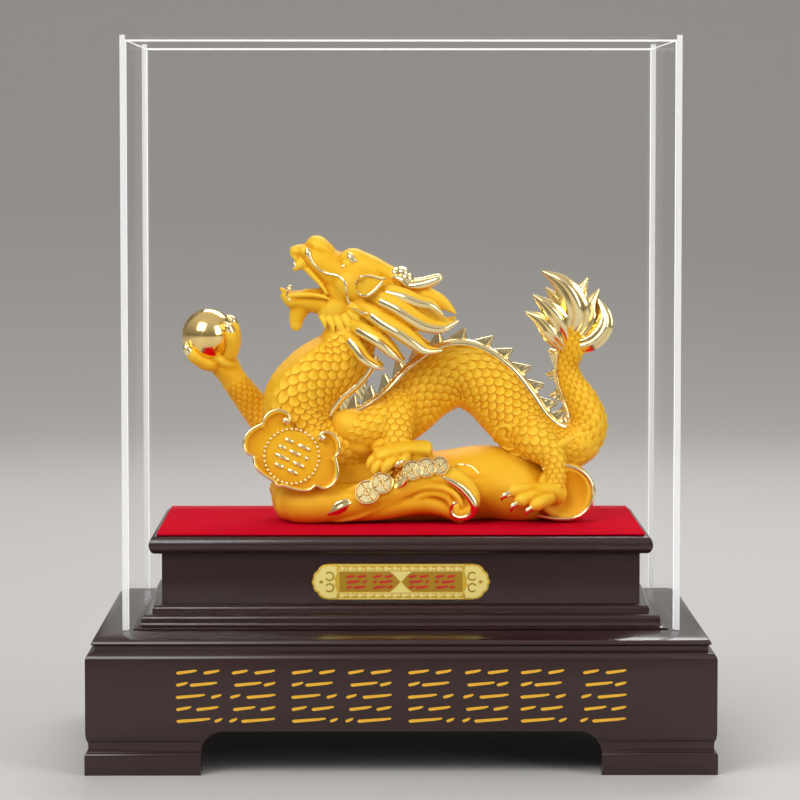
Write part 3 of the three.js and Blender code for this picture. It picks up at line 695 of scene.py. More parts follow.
LOCKS = [
    [(-6, 6, 117, 3.4), (4, 9, 115, 4), (13, 12, 111.5, 4), (21, 13.5, 108, 3), (27.6, 14, 103, 0.5)],
    [
        (-14, 10, 117.5, 3), (-6.8, 15, 114.4, 3.6), (1, 18, 112.6, 3.6), (9, 19.5, 109.4, 3.2),
        (16, 19.6, 107.4, 2.2), (21, 19.4, 103, 0.5),
    ],
    [
        (-19, 9, 113.5, 3.4), (-9.8, 16, 110.8, 4.2), (-2.4, 19.5, 107.4, 4.4), (5.4, 21.5, 102, 4.4),
        (13.2, 22, 97.8, 3.8), (21, 21.6, 96.8, 2.8), (28.4, 20.4, 100, 0.5),
    ],
    [
        (-23, 9, 107, 3.4), (-14.2, 16, 103.8, 4.2), (-8.3, 19, 99.6, 4.4), (-0.5, 22, 95, 4.4),
        (6.4, 23, 89.8, 3.8), (12, 22.6, 86, 2.8), (20.4, 20.4, 85.4, 0.5),
    ],
    [
        (-27, 8, 100, 3), (-21, 13, 96.4, 3.6), (-15.2, 17, 93.4, 3.8), (-9.3, 19.4, 89.4, 3.6),
        (-3.6, 20, 84, 2.8), (2.6, 19, 78.3, 0.5),
    ],
    [
        (-31, 8, 95, 2.6), (-25, 12, 91.2, 3.4), (-21, 15, 86.4, 3.4), (-17.6, 16.8, 81.4, 3),
        (-12.4, 17, 78, 2.2), (-7.9, 16, 76, 0.5),
    ],
]


def flank_side(points, flank):
    return [(x, MID + flank * off, z, *rest) for x, off, z, *rest in points]


CHIN = [
    (-47.6, 109, 6), (-49.6, 105, 5), (-51, 101, 4), (-51.5, 98, 3.3), (-51.6, 95.6, 2.7), (-51.6, 94, 1.3),
]
# The forms on the middle plane, each (line of (x, z, size), points round it, step, width).
CENTRE_FORMS = [
    (SKULL, 30, 1.3, SKULL_BROAD),
    (JAW, 26, 1.3, JAW_BROAD),
    ([(-46, 135, 2.6), (-42, 136.3, 5.1), (-37.4, 133.4, 4.8), (-33, 128.4, 4.6)], 22, 1.2, 1.3),
    ([(-30, 124.5, 6), (-24, 127.6, 6.8), (-15, 123.8, 7), (-5, 119.4, 6.4)], 24, 1.2, 1.5),
    (MANE_BODY, 24, 1.4, [1.5, 1.2, 1.3, 1.6, 2]),
    ([(-22, 107, 5), (-36, 111.5, 3.4), (-48, 113.2, 1.6)], 16, 1.2, 1.3),
    (CHIN, 24, 0.8, 0.95),
    ([(-54.6, 110.5, 3), (-57.2, 113.2, 1.6), (-59.4, 115.6, 0.4)], 12, 0.8, 1.6),
]
head_shells = [
    swept([(x, MID, z, r) for x, z, r in line], around, step, broad)
    for line, around, step, broad in CENTRE_FORMS
]
# The forms on each side are measured from the middle plane: the lips, the brow and a tooth as
# lines, and the nostril, eye and cheeks as (middle, half size, pitch).
UPPER_LIP = [
    (-53.5, 4.2, 132.5, 1.3), (-49, 6.3, 127.5, 1.5), (-43.5, 7.4, 122, 1.4), (-38.6, 8.4, 116.5, 1.1),
    (-36, 9.2, 112.6, 0.7),
]
LOWER_LIP = [
    (-55.5, 4.8, 111.5, 1.1), (-50, 6.4, 112, 1.4), (-43, 7.4, 112, 1.3), (-38, 8.6, 111.2, 1),
    (-35, 9.4, 110, 0.6),
]
BROW = [
    (-29, 4.4, 126, 3), (-27, 4.8, 129, 4), (-23.6, 5.2, 130.5, 4.4), (-17, 5.6, 127.4, 4.8),
    (-10, 6.2, 123.8, 4.9), (-3, 7, 120.2, 4.6),
]
SIDE_FORMS = [
    ((-47, 5.6, 133.6), (3, 2.6, 2.5), 20),
    ((-25, 9, 127), (4.2, 2.4, 2.8), 24),
    ((-16.5, 5.6, 122.4), (14, 7.4, 9.4), 24),
    ((-27, 3.8, 114.5), (11, 7.2, 10.5), 30),
    ((-30, 3.2, 106), (11.6, 7.4, 9), -25),
    ((-22, 7, 117), (12, 7.4, 9), 20),
]
TOOTH = [(-47.5, 6, 128.5, 3.2), (-50.6, 6.6, 126, 2.2), (-53, 6.8, 123.8, 0.4)]
for flank in (-1, 1):
    for line, broad in ((UPPER_LIP, 1), (LOWER_LIP, 1), (BROW, 1.15)):
        head_shells.append(swept(flank_side(line, flank), 12, 0.9, broad))
    for (x, off, z), half, pitch in SIDE_FORMS:
        head_shells.append(egg((x, MID + flank * off, z), half, pitch))
    head_shells.append(swept(flank_side(TOOTH, flank), 12, 0.8))
    for lock in LOCKS:
        head_shells.append(swept(flank_side(lock, flank), 20, 1.1, 0.62))
head = body_of_shells("head", head_shells)
fuse(head, grain=0.6, passes=6, keep=0.23)
casting.append(head)

# POLISHED GOLD. The edges that a gilder would burnish: whiskers, eyes, ear rims, horns, nails,
# the ribs of the locks, the fins along the back and the whole tail tuft.
bright_shells = []
face = surface_of(head)
WHISKER = [
    (-45.9, 135, 0.9), (-45.2, 132.6, 1.7), (-44, 129.8, 1.0), (-42.5, 127.2, 0.75), (-39.5, 124.5, 0.7),
    (-35.7, 122.7, 0.75), (-31.6, 121.9, 0.85), (-28.9, 120.4, 0.85), (-27, 118.5, 0.8),
    (-26.5, 115.1, 0.75), (-25.9, 110.6, 0.75), (-24.4, 107.2, 0.75), (-21.4, 105, 0.8),
    (-18.4, 103.6, 1.1), (-15, 103.5, 0.4),
]
EYELID = [(-25.6, 132.6, 0.9), (-24.9, 131.4, 1.7), (-23.9, 130, 1.9), (-22.6, 129, 1.6), (-21, 128.7, 0.8)]
# The thin lines laid on each side of the face, as (line, sink, points round it, step).
FACE_LINES = [
    (WHISKER, -0.15, 10, 0.7),
    (EYELID, 0.1, 14, 0.5),
    ([(-28.8, 125.2, 0.5), (-28.2, 126.2, 1.2), (-27.4, 127.3, 0.5)], 0.1, 10, 0.4),
    ([(-52.2, 128, 0.5), (-51.8, 126.8, 0.9), (-51.8, 125, 0.4)], 0.1, 8, 0.4),
    ([(-55, 114.4, 0.5), (-55.6, 112.1, 0.6), (-54.5, 109, 0.4)], 0.1, 8, 0.4),
]
EAR_RIMS = [
    [
        (-21.8, 16, 117, 0.4), (-21.6, 16, 119.4, 0.55), (-19.6, 19.6, 121.4, 0.6),
        (-16.6, 19.6, 121.9, 0.6), (-13, 19.6, 121.4, 0.6), (-10, 19.6, 120.5, 0.6),
        (-7, 19.6, 120.6, 0.3),
    ],
    [
        (-21.4, 17, 114.4, 0.5), (-19.2, 17, 112.6, 0.8), (-16.4, 19.4, 112.2, 0.8),
        (-13.8, 19.4, 113.7, 1.1), (-11.4, 19.4, 116, 1.1), (-8.6, 19.4, 119.4, 0.5),
    ],
]
HORN_ROOT = [(-5.6, 9.6, 119.6, 1.2), (-2, 11, 120.4, 2.2), (1, 11.8, 119.4, 2.8), (3.6, 12, 116.8, 3.2)]
HORN_KNOBS = [(-4.8, 9, 121.2, 2), (-1.8, 9.6, 122.7, 2.5), (1.4, 10.4, 122.9, 2.8), (3.4, 11.2, 120.4, 2.8)]
HORN = [
    (-0.6, 9.8, 118.4, 2.2), (3.4, 11, 116.4, 3.3), (7.4, 11.8, 116.2, 3.4), (11.4, 12.6, 117.2, 2.9),
    (16.4, 13.8, 119, 2.2), (19.4, 14.6, 120.3, 1.4), (20.8, 14.8, 120.9, 0.5),
]
for flank in (-1, 1):
    for line, sink, around, step in FACE_LINES:
        bright_shells.append(swept(laid_on(face, line, flank, sink), around, step))
    for rim in EAR_RIMS:
        bright_shells.append(swept(flank_side(rim, flank), 10, 0.7, 1.2))
    bright_shells.append(egg((-54.8, MID + flank * 5.2, 115), (1.5, 1.4, 1.5), 0, 14, 8))
    bright_shells.append(swept(flank_side(HORN_ROOT, flank), 14, 0.9, 1.0, section=grooved((0.08, 4))))
    bright_shells.append(swept(flank_side(HORN, flank), 18, 0.9, 1.0, section=grooved((0.05, 5))))
    for x, off, z, r in HORN_KNOBS:
        bright_shells.append(egg((x, MID + flank * off, z), (1.3 * r, r, 0.9 * r), 24, 18, 12))
    for lock in LOCKS[1:]:
        band = [(x, off + 0.54 * r, z - 0.3 * r, min(2.0, 0.35 + 0.46 * r)) for x, off, z, r in lock[1:]]
        bright_shells.append(swept(flank_side(band, flank), 16, 1.5, 0.62, section=grooved((0.13, 5))))
EAR = [
    (-22.5, 11, 116.8, 1.5), (-19.5, 15.5, 117, 4.6), (-16.5, 17.6, 117.1, 5.2), (-13, 18.6, 118, 4.0),
    (-10, 19, 119.4, 2.2), (-6.8, 19.2, 121, 0.5),
]
BEARD = [
    [(-38.6, 7, 101.8, 1.8), (-37.2, 8.6, 99, 1.6), (-37, 9, 95.6, 0.2)],
    [(-35.6, 8.4, 101.4, 2), (-33.6, 10, 98, 1.8), (-32.6, 10.4, 93.4, 0.2)],
    [(-32, 9.4, 101.6, 2.2), (-29.6, 11, 97, 2), (-28.2, 11.4, 91.4, 0.2)],
    [(-28.4, 10, 102.4, 2.2), (-25.4, 11.8, 98, 2), (-23, 12.4, 92.8, 0.2)],
    [(-25, 10.6, 104, 2), (-21.6, 12.4, 101, 1.9), (-18.4, 13, 97, 0.2)],
    [(-25, 11, 107.4, 1.8), (-21, 13, 105.6, 1.7), (-17.4, 14, 103.2, 0.2)],
]
ears = []
for flank in (-1, 1):
    ears.append(swept(flank_side(EAR, flank), 20, 0.9, 0.22))
    for tuft in BEARD:
        ears.append(swept(flank_side(tuft, flank), 12, 1.0, 0.5))
casting.append(body_of_shells("ears", ears))

# Fins stand along the whole back, tips towards the tail, on a raised gold cord.
FIN = [
    (-6.2, -0.6), (-4.4, 1.3), (-2, 3.2), (0.8, 5.1), (3, 6.7), (4.1, 7.2), (4.1, 6.3), (3.6, 4.6),
    (3.8, 2.9), (4.6, 1.2), (6, -0.6),
]


def ribbed_fin(root, ahead, up, side, size):
    edge, _ = through([(a, 0, h) for a, h in FIN], 1.6)
    edge = edge[:, [0, 2]] * size
    count, tiers = len(edge), 3
    foot = np.stack([np.linspace(edge[0, 0], edge[-1, 0], count), np.full(count, -1.5)], axis=1)
    rings = []
    for k in range(count):
        column = [foot[k] + (edge[k] - foot[k]) * v for v in np.linspace(0, 1, tiers)]
        rib = 0.45 + 0.3 * math.cos(k * math.pi)
        wide = [(1 - 0.5 * v) * rib + 0.3 for v in np.linspace(0, 1, tiers)]
        near = [root + ahead * a + up * h + side * w for (a, h), w in zip(column, wide)]
        away = [root + ahead * a + up * h - side * w for (a, h), w in zip(column, wide)]
        rings.append(near + away[::-1])
    rim = [(*(root + ahead * a + up * h), 0.6 * size**0.5) for a, h in edge]
    return [skin_rings(rings), swept(rim, 6, 1.6, 1.0, tuple(side))]


path, _ = through(SPINE, 0.4)
ahead, side, up = frames(path)
dorsal = path[:, :3] + up * path[:, 3][:, None]
travel = np.concatenate([[0], np.cumsum(np.linalg.norm(np.diff(dorsal, axis=0), axis=1))])
FIN_PITCH = 10.4
CORD_START, FIN_START, TAIL_END = (int(part * len(path)) for part in (0.09, 0.12, 0.94))
stop = travel[FIN_START]
while stop < travel[TAIL_END]:
    i = int(np.searchsorted(travel, stop))
    size = min(1.05, 0.46 + path[i, 3] * 0.046)
    bright_shells += ribbed_fin(dorsal[i] + up[i] * 1.3, ahead[i], up[i], side[i], size)
    stop += FIN_PITCH * (0.62 + 0.38 * size)
cord = [(*(dorsal[i] + up[i] * 1.15), 0.4 + 0.15 * path[i, 3]) for i in range(CORD_START, TAIL_END, 8)]
bright_shells.append(swept(cord, 10, 2.4, 1.8))

# The tail opens into a tuft of grooved, flame-shaped locks, gilded bright all over.
TUFT = [
    [(84, 7, 90, 4), (88, 4, 101, 6.4), (85.5, 3, 110.5, 6), (79.5, 3, 118, 4), (71, 4, 123, 0.6)],
    [(83, 6, 88, 4), (78.5, 2, 99, 5.4), (73, 1, 106, 3.6), (66, 1, 111.5, 0.5)],
    [(82, 6, 85, 3), (76, 2, 92, 4.6), (70, 2, 99, 3.2), (62.5, 3, 103, 0.5)],
    [(86, 9, 88, 4), (91.5, 13, 101, 5.4), (90, 13, 111, 3.8), (94, 12, 119.5, 0.5)],
    [(87, 8, 88, 4), (95, 9, 98, 5), (96, 9, 106.5, 3.4), (99.5, 9, 114, 0.5)],
    [(86, 7, 85, 3.6), (96, 5, 88.5, 4.6), (102, 5, 96, 4.2), (102, 6, 103, 2.6), (99, 7, 109, 0.5)],
    [(86, 11, 87, 3.6), (83.5, 14, 100, 5), (78.5, 15, 108.5, 3.2), (73, 14, 114.5, 0.5)],
]
for lock in TUFT:
    bright_shells.append(swept(lock, 30, 1.6, 0.8, section=grooved((0.1, 7), (0.03, 12))))
for nail in [*HIND_NAILS, *[far(n) for n in HIND_NAILS]]:
    bright_shells.append(swept(nail, 10, 0.7))
bright_shells += finger_nails
FORE_NAIL = [
    (2.4, -30.4, 30.9, 0.5), (0.8, -31, 31.2, 1.1), (-1, -31.4, 30.2, 1.4), (-2.2, -31.6, 28.8, 0.9),
    (-1.8, -31.6, 27.8, 0.3),
]
bright_shells.append(swept(FORE_NAIL, 12, 0.5))

# Under the dragon lies the sceptre: a thick curved shaft with a rolled fold on its flank and a
# scooped foot. A cloud-shaped plate fills its head, and a string of holed coins hangs across it.
SHAFT = [
    (-62, 0, 9, 7), (-55, 1, 12, 13), (-35, 2, 13, 16.5), (-10, 3, 14, 18), (20, 4, 15, 18.5),
    (45, 4, 17, 19), (65, 2, 13, 16.5), (84, -2, 12, 10),
]
SHAFT_BROAD = [12 / 7, 22 / 13, 24 / 16.5, 24 / 18, 25 / 18.5, 25 / 19, 25 / 16.5, 14 / 10]
WAVE = [
    (-57.2, -14.6, 10, 6.4), (-56.2, -15.4, 10, 8.6), (-53, -16.8, 10, 9.7), (-46, -20, 10, 10.5),
    (-24, -23, 11, 8.5), (-4, -24, 16, 7.4), (13, -24, 22, 6.6), (27, -25.5, 22, 5.2), (35, -27, 15, 4),
    (34.5, -28, 7.5, 3.2), (28.5, -28, 5.6, 2.6), (27.5, -28.5, 10.5, 2),
]
FOLD = [(-34, -20, 5, 5), (-10, -22, 8, 6.5), (10, -22.5, 11, 6.5), (22, -23, 8, 5), (31, -22, 2, 3)]
CRESTS = [
    [
        (2, -27.5, 7.6, 1.6), (8.3, -28.4, 13.4, 2.1), (15.4, -28.6, 15.4, 2.1),
        (22.3, -28.8, 13.6, 1.9), (25.4, -28.6, 9.2, 1.2),
    ],
    [
        (-36, -24, 1.6, 1), (-29, -26, 2.4, 1.6), (-21.6, -27, 4.2, 2), (-11.2, -28.4, 8.6, 2.4),
        (-2.8, -28.6, 12.8, 2.6), (5.6, -28.8, 17, 2.6), (14, -29, 18.8, 2.4), (22.3, -29.2, 17.4, 2.1),
        (27.8, -29.2, 13.5, 1.8), (30.6, -29, 8.6, 1.2),
    ],
    [
        (-40, -25.5, 9.8, 1.2), (-32, -27.5, 13.4, 1.6), (-22.3, -28, 17.6, 1.8),
        (-12, -27.6, 22.4, 1.6), (-4, -27, 26, 1),
    ],
]
SCOOP = [
    (81.4, -21.4, 15, 10), (81.4, -21.2, 15, 12.6), (81.4, -20, 15, 13.7), (81.4, -8, 15, 14),
    (81.4, 6, 14.6, 13), (81, 15, 13, 8),
]
sceptre = body_of_shells("sceptre", [
    swept(SHAFT, 48, 2, SHAFT_BROAD), swept(WAVE, 24, 1.2, 1.1), swept(FOLD, 24, 1.2, 1.2),
    *[swept(line, 14, 1.2) for line in CRESTS], egg((-55.6, -6, 12), (8.2, 13, 12.4), 0, 30, 20),
    swept(SCOOP, 48, 1.4, 1.02, (1, 0, 0)),
    egg((-43.5, -17, 31), (13, 9, 15), 0, 30, 20),
])
fuse(sceptre, grain=0.8, passes=3, keep=0.13)
rolled = surface_of(sceptre)
casting.append(body_of_shells("rear_folds", [
    swept(laid_on(rolled, [(x, z, 0.8 * r) for x, _, z, r in line], 1, 0.5), 12, 0.8) for line in CRESTS[1:]
]))
bowl = body_of_shells("bowl", [egg((81.2, -24.2, 14.9), (13.6, 6.4, 13.2), 0, 48, 30)])
cut_away(sceptre, bowl)
for v in sceptre.data.vertices:
    v.co.z = max(v.co.z, (FLOOR + 0.02) * MM)
casting.append(sceptre)
under = surface_of(sceptre)
GOLD_CURL = [
    (20, 23.8, 0.5), (25.4, 21, 1.7), (30.7, 17.4, 2.2), (34.2, 13.5, 2.3), (36.2, 9.3, 2.2),
    (35, 5.4, 1.8), (32, 3.6, 1.6), (28.2, 3.4, 1.6), (25.6, 5.2, 1.5), (25, 8, 1.4), (26.6, 10.4, 1.3),
    (27.8, 10.6, 0.8),
]
THREAD = [
    (22.6, 28.0, 0.5), (25, 28.0, 0.35), (27.9, 28.2, 0.6), (29.4, 28.2, 0.35), (30.8, 28.2, 0.65),
    (33, 27.9, 0.35), (35, 27.4, 0.5), (37, 26.0, 0.3), (38.6, 24.2, 0.45),
]
for line, sink in ((GOLD_CURL, 0.2), (THREAD, 0)):
    bright_shells.append(swept(laid_on(under, line, -1, sink), 10, 0.8, 0.8))
SCOOP_RIM = [
    (70, 26.4, 0.5), (77, 28.4, 0.8), (84.5, 27.6, 1.0), (91.6, 23.6, 1.1), (95.2, 16, 1.1),
    (93, 7.4, 1.1), (86.9, 2.6, 1.0), (77.2, 1.8, 0.9), (67.4, 3.5, 0.6),
]
bright_shells.append(swept([(x, -20.7, z, r) for x, z, r in SCOOP_RIM], 10, 1.0))


def turned(points, middle, spin=(0, 0, 0)):
    # Points drawn face up round the origin, leaned by three turns in degrees and set in place.
    points = np.array(points, float)
    for (a, b), degrees in zip(((1, 2), (2, 0), (0, 1)), spin):
        c, s = math.cos(math.radians(degrees)), math.sin(math.radians(degrees))
        p = points.copy()
        points[:, a], points[:, b] = p[:, a] * c - p[:, b] * s, p[:, a] * s + p[:, b] * c
    return points + np.array(middle)


def lathe(profile, around):
    turn = np.arange(around) / around * 2 * math.pi
    round_about = [(r * np.cos(turn), r * np.sin(turn), np.full(around, z)) for r, z in profile]
    return skin_rings([np.stack(ring, axis=1) for ring in round_about])


def bar(start, end, wide, high, z=0.0):
    # A low rounded stroke lying on the plane z.
    a, b = np.array(start, float), np.array(end, float)
    along = (b - a) / np.linalg.norm(b - a)
    side = np.array([-along[1], along[0]])
    rings = []
    for spot, w, h in ((a - along * wide * 0.4, 0.25, 0.4), (a, 1, 1), (b, 1, 1),
        (b + along * wide * 0.4, 0.25, 0.4)):
        ring = []
        for k in range(8):
            t = k / 8 * 2 * math.pi
            p = spot + side * math.cos(t) * wide / 2 * w
            ring.append((p[0], p[1], z + math.sin(t) * high * h))
        rings.append(ring)
    return skin_rings(rings)


def wedge(r0, r1, a0, a1, low, high):
    # A flat raised block between two radii and two angles.
    turn = np.linspace(a0, a1, 3)
    plan = [(r1 * math.cos(a), r1 * math.sin(a)) for a in turn]
    plan += [(r0 * math.cos(a), r0 * math.sin(a)) for a in turn[::-1]]
    return skin_rings([[(x, y, z) for x, y in plan] for z in (low, high)])


COINS = [
    (-16.1, -32.4, 16.1, 6.3), (-9.1, -31.8, 20.5, 5.6), (-0.8, -30.2, 22.8, 5.3),
    (5.9, -30.6, 26.6, 5.1), (12.5, -30.3, 28.0, 5.1), (19.2, -29.8, 28.8, 4.8),
]
COIN_TURN = 0.6  # how far the square hole is turned, in radians
for k, (x, y, z, r) in enumerate(COINS):
    shells = [lathe([
        (r * 0.6, -0.9), (r, -0.8), (r, 0.5), (r - 0.2, 0.95), (r - 0.6, 0.95), (r - 0.8, 0.2),
        (r * 0.4, 0.2),
    ], 30)]
    for q in range(4):
        a = q * math.pi / 2 + COIN_TURN
        c, s = 1.1 * math.cos(a), 1.1 * math.sin(a)
        shells.append(bar((c - s, s + c), (c + s, s - c), 0.5, 0.5, 0.4))
        shells.append(wedge(0.4 * (r - 0.9), 0.98 * (r - 0.9), a + 0.1, a + 1.47, 0.1, 0.55))
    lean = (90 - 22, 0, -4 if k != 2 else -34)
    bright_shells += [(turned(p, (x, y, z), lean), f) for p, f in shells]
    if k:
        knot = ((x + COINS[k - 1][0]) / 2, y + 0.6, (z + COINS[k - 1][2]) / 2)
        bright_shells.append(egg(knot, (1.6, 1.2, 1.6), 0, 12, 8))
LEAF = [
    (-20.4, -30.4, 13.4, 0.6), (-23, -30.8, 12, 0.8), (-25.4, -31, 11, 2.2), (-29, -31, 9.4, 3.1),
    (-33, -30.6, 7.2, 2.5), (-37.4, -29.8, 4.6, 0.3),
]
bright_shells.append(swept(LEAF, 30, 0.8, 0.75, section=grooved((0.12, 5))))

# The plate of the sceptre's head: a cloud outline with a gilt rim that ends in two drops, a ring of
# beads, and short rows of plain strokes.
PLATE = (-53.2, -30, 33.5)
PLATE_TURN, PLATE_TILT = 25, 8


def bezier(a, b, c, d, count):
    t = np.linspace(0, 1, count, endpoint=False)[:, None]
    a, b, c, d = (np.array(v, float) for v in (a, b, c, d))
    return a * (1 - t) ** 3 + 3 * b * t * (1 - t) ** 2 + 3 * c * t**2 * (1 - t) + d * t**3


half_line = np.vstack([
    bezier((0, -16.6), (3, -13.4), (14.5, -16.6), (17.4, -8.2), 18),
    bezier((17.4, -8.2), (26, -10), (28.5, 3), (19.8, 8.2), 20),
    bezier((19.8, 8.2), (22.8, 13), (17, 22), (9.6, 18), 20),
    bezier((9.6, 18), (8, 16.8), (8, 14.6), (9.6, 13.6), 8),
    [(9.6, 13.6)],
])
top_line = bezier((9.6, 13.6), (4, 12), (-4, 12), (-9.6, 13.6), 14)[1:]
outline = np.vstack([half_line, top_line, (half_line * (-1, 1))[::-1][:-1]])


def on_plate(points):
    return turned(points, PLATE, (90 - PLATE_TILT, 0, 0))


def spun(points):
    c, s = math.cos(math.radians(-PLATE_TURN)), math.sin(math.radians(-PLATE_TURN))
    points = np.array(points, float)
    x, y = points[:, 0] * c - points[:, 1] * s, points[:, 0] * s + points[:, 1] * c
    return np.column_stack([x, y, points[:, 2:]])


rings = []
open_top = np.clip((outline[:, 1] - 9.5) / 3, 0, 1) * np.clip((10.4 - np.abs(outline[:, 0])) / 1.5, 0, 1)
DISH = (
    (0.5, -4.6), (0.93, -4.4), (0.99, -3), (1, 0), (1, 2.4), (0.985, 3.4), (0.955, 3.7), (0.92, 3.3),
    (0.89, 2.3), (0.8, 1.9), (0.55, 2.1), (0.25, 2.3),
)
for scale, depth in DISH:
    level = np.where(depth > 2.1, depth + (2.0 - depth) * open_top, depth)
    rings.append(np.column_stack([outline * scale, level]))
points, faces = skin_rings(rings)
plate = body_of_shells("plate", [(on_plate(spun(points)), faces)])
casting.append(plate)
rim = [(*p * 0.97, 3.5, 0.62) for p in half_line[::3]]
rim = [(-x, y, z, r) for x, y, z, r in rim[:0:-1]] + rim
ends = [(9.2, 15.2, 3.7, 1.5), (10.2, 14.5, 3.6, 2.0), (11.4, 15.1, 3.5, 1.4)]
rim = [(-x, y, z, r) for x, y, z, r in ends[::-1]] + rim + ends
lifted = spun(rim)
placed = on_plate(lifted[:, :3])
bright_shells.append(swept([(*p, q[3]) for p, q in zip(placed, lifted)], 10, 1.0, 1.0, (0.05, -1, -0.1)))
for k in range(36):
    a = k / 36 * 2 * math.pi
    p, f = egg((13.4 * math.cos(a), 13.4 * math.sin(a), 2.5), (0.88, 0.88, 0.8), 0, 8, 6)
    bright_shells.append((on_plate(p), f))
PLATE_ROWS = [  # (height, the start and end of each stroke)
    (6.6, (-6.2, -2.4), (0.8, 6.4)), (2.2, (-7.6, -4.6), (-1.8, 3.4), (6.4, 7.6)),
    (-2.2, (-7.4, -0.8), (2.2, 7.4)), (-6.6, (-5.6, -1.6), (1.6, 5.8)),
]
for z, *parts in PLATE_ROWS:
    for start, end in parts:
        p, f = bar((start, z), (end, z), 2.3, 1.2, 2.3)
        bright_shells.append((on_plate(spun(p)), f))

bright = body_of_shells("bright", bright_shells)


def mark_shade_and_highlight(piece, rounds):
    # Writes how far each point lies in a hollow (0.5 is flat), spread softly to its neighbours.
    # The gold finishes use this mask to paint shade into the hollows and a highlight onto the ridges.
    mesh = piece.data
    count = len(mesh.vertices)
    spots = np.empty(count * 3)
    mesh.vertices.foreach_get("co", spots)
    spots = spots.reshape(-1, 3)
    ways = np.empty(count * 3)
    mesh.vertices.foreach_get("normal", ways)
    ways = ways.reshape(-1, 3)
    pairs = np.empty(len(mesh.edges) * 2, dtype=np.int64)
    mesh.edges.foreach_get("vertices", pairs)
    a, b = pairs.reshape(-1, 2).T
    gap = spots[b] - spots[a]
    long = np.linalg.norm(gap, axis=1) + 1e-9
    gap /= long[:, None]
    degree = np.bincount(a, minlength=count) + np.bincount(b, minlength=count) + 1e-9
    rise = [(gap * ways[end]).sum(axis=1) for end in (a, b)]
    bend = np.bincount(a, rise[0], count) - np.bincount(b, rise[1], count)
    value = bend / degree
    for _ in range(rounds):
        value = (value + (np.bincount(a, value[b], count) + np.bincount(b, value[a], count)) / degree) / 2
    store = mesh.attributes.new("hollow", "FLOAT", "POINT")
    store.data.foreach_set("value", np.clip(0.5 + value * 1.6, 0, 1).astype(np.float32))


def graded(ramp, *ends):
    # Sets the two ends of a colour ramp, each (position, colour).
    for stop, (position, colour) in zip(ramp.color_ramp.elements, ends):
        stop.position = position
        stop.color = (*colour, 1)


def gold_with_painted_shade_and_highlight(name, flat, deep, high, rough, metal, **fixed):
    # A gold with painted shade, a deeper colour, in the hollows and a painted highlight, a paler colour, on
    # the ridges.
    made = finish_of(name, flat, flat, rough, metal, **fixed)
    nodes = made.node_tree.nodes
    told = nodes.new("ShaderNodeAttribute")
    told.attribute_name = "hollow"
    ramp = nodes.new("ShaderNodeValToRGB")
    graded(ramp, (0.36, high), (0.66, deep))
    ramp.color_ramp.elements.new(0.5).color = (*flat, 1)
    wire(made.node_tree, (told, "Fac", ramp, "Fac"), (ramp, "Color", nodes["Principled BSDF"], "Base Color"))
    return made


# Sand gold: its second colour is painted shade in the hollows, its third a painted highlight on the ridges.
sand_gold = gold_with_painted_shade_and_highlight(
    "sand gold", (0.83, 0.442, 0.013), (0.67, 0.265, 0.002), (0.92, 0.585, 0.042), (0.46, 0.6), 0.1,
    size=60, grain=0.2, depth=0.14, Specular_IOR_Level=0.32, Specular_Tint=(1, 0.85, 0.55, 1),
)
# Bright gold: its second colour is painted shade in the hollows, its third a painted highlight on the ridges.
bright_gold = gold_with_painted_shade_and_highlight(
    "bright gold", (1.0, 0.77, 0.32), (0.6, 0.3, 0.04), (1.0, 0.84, 0.46), (0.08, 0.2), 1.0,
    size=90, grain=0.04, depth=0.06,
)
dragon = joined(wear(joined(*casting), sand_gold), wear(bright, bright_gold))
dragon.name = "dragon_casting"
only(dragon)
bpy.ops.object.shade_smooth_by_angle(angle=math.radians(60))
# Marks where the golds paint shade into the hollows and a highlight onto the ridges.
mark_shade_and_highlight(dragon, 2)
stand_for("dragon", dragon)

# PEARL. A hollow ball of gilt metal, spun and polished to a mirror. It rests on the palm of the
# raised claw, whose four fingers hold it.
alone()
middle = [PEARL[0] * MM, PEARL[1] * MM, (PEARL[2] + FLOOR) * MM]
bpy.ops.mesh.primitive_uv_sphere_add(segments=64, ring_count=40, radius=PEARL_R * MM, location=middle)
pearl = bpy.context.object
pearl.name = "pearl_ball"
bpy.ops.object.transform_apply(location=True, rotation=False, scale=True)
bpy.ops.object.shade_smooth()
ball_gold = finish_of(
    "ball gold", (1.0, 0.7, 0.25), (1.0, 0.76, 0.33), (0.1, 0.16), 1.0, size=30, grain=0.02, depth=0.05,
)
stand_for("pearl", wear(pearl, ball_gold))

# NAME PLATE. A thin brass tablet, pressed with a fretted border, scrolled ends and two sunk panels of
# red strokes, and glued to the front of the tier. Its outlines are drawn from the tablet's middle.
NAME_Z, NAME_FRONT = 88.1, -66.7


def tablet(scale_x, scale_z):
    quarter = [
        (34.6, 8.7), (37.4, 8.2), (39.3, 6.9), (40.2, 5.2), (41.3, 4.6), (42.1, 3.2), (42.1, 2.0),
        (43.0, 0),
    ]
    right = quarter + [(x, -z) for x, z in quarter[-2::-1]]
    whole = right + [(-x, z) for x, z in right[::-1]]
    return [(x * scale_x, NAME_Z + z * scale_z) for x, z in whole][::-1]


def oval(x, z, wide, high, count=10):
    return [
        (x + wide / 2 * math.cos(a), NAME_Z + z + high / 2 * math.sin(a))
        for a in np.linspace(0, 2 * math.pi, count, endpoint=False)
    ]


def curl(x, z, r, wide, start, end, count=12):
    turn = np.radians(np.linspace(start, end, count))
    outer = [(x + r * math.cos(a), NAME_Z + z + r * math.sin(a)) for a in turn]
    inner = [(x + (r - wide) * math.cos(a), NAME_Z + z + (r - wide) * math.sin(a)) for a in turn[::-1]]
    return outer + inner


def both_ends(shapes):
    return shapes + [[(-x, z) for x, z in shape[::-1]] for shape in shapes]


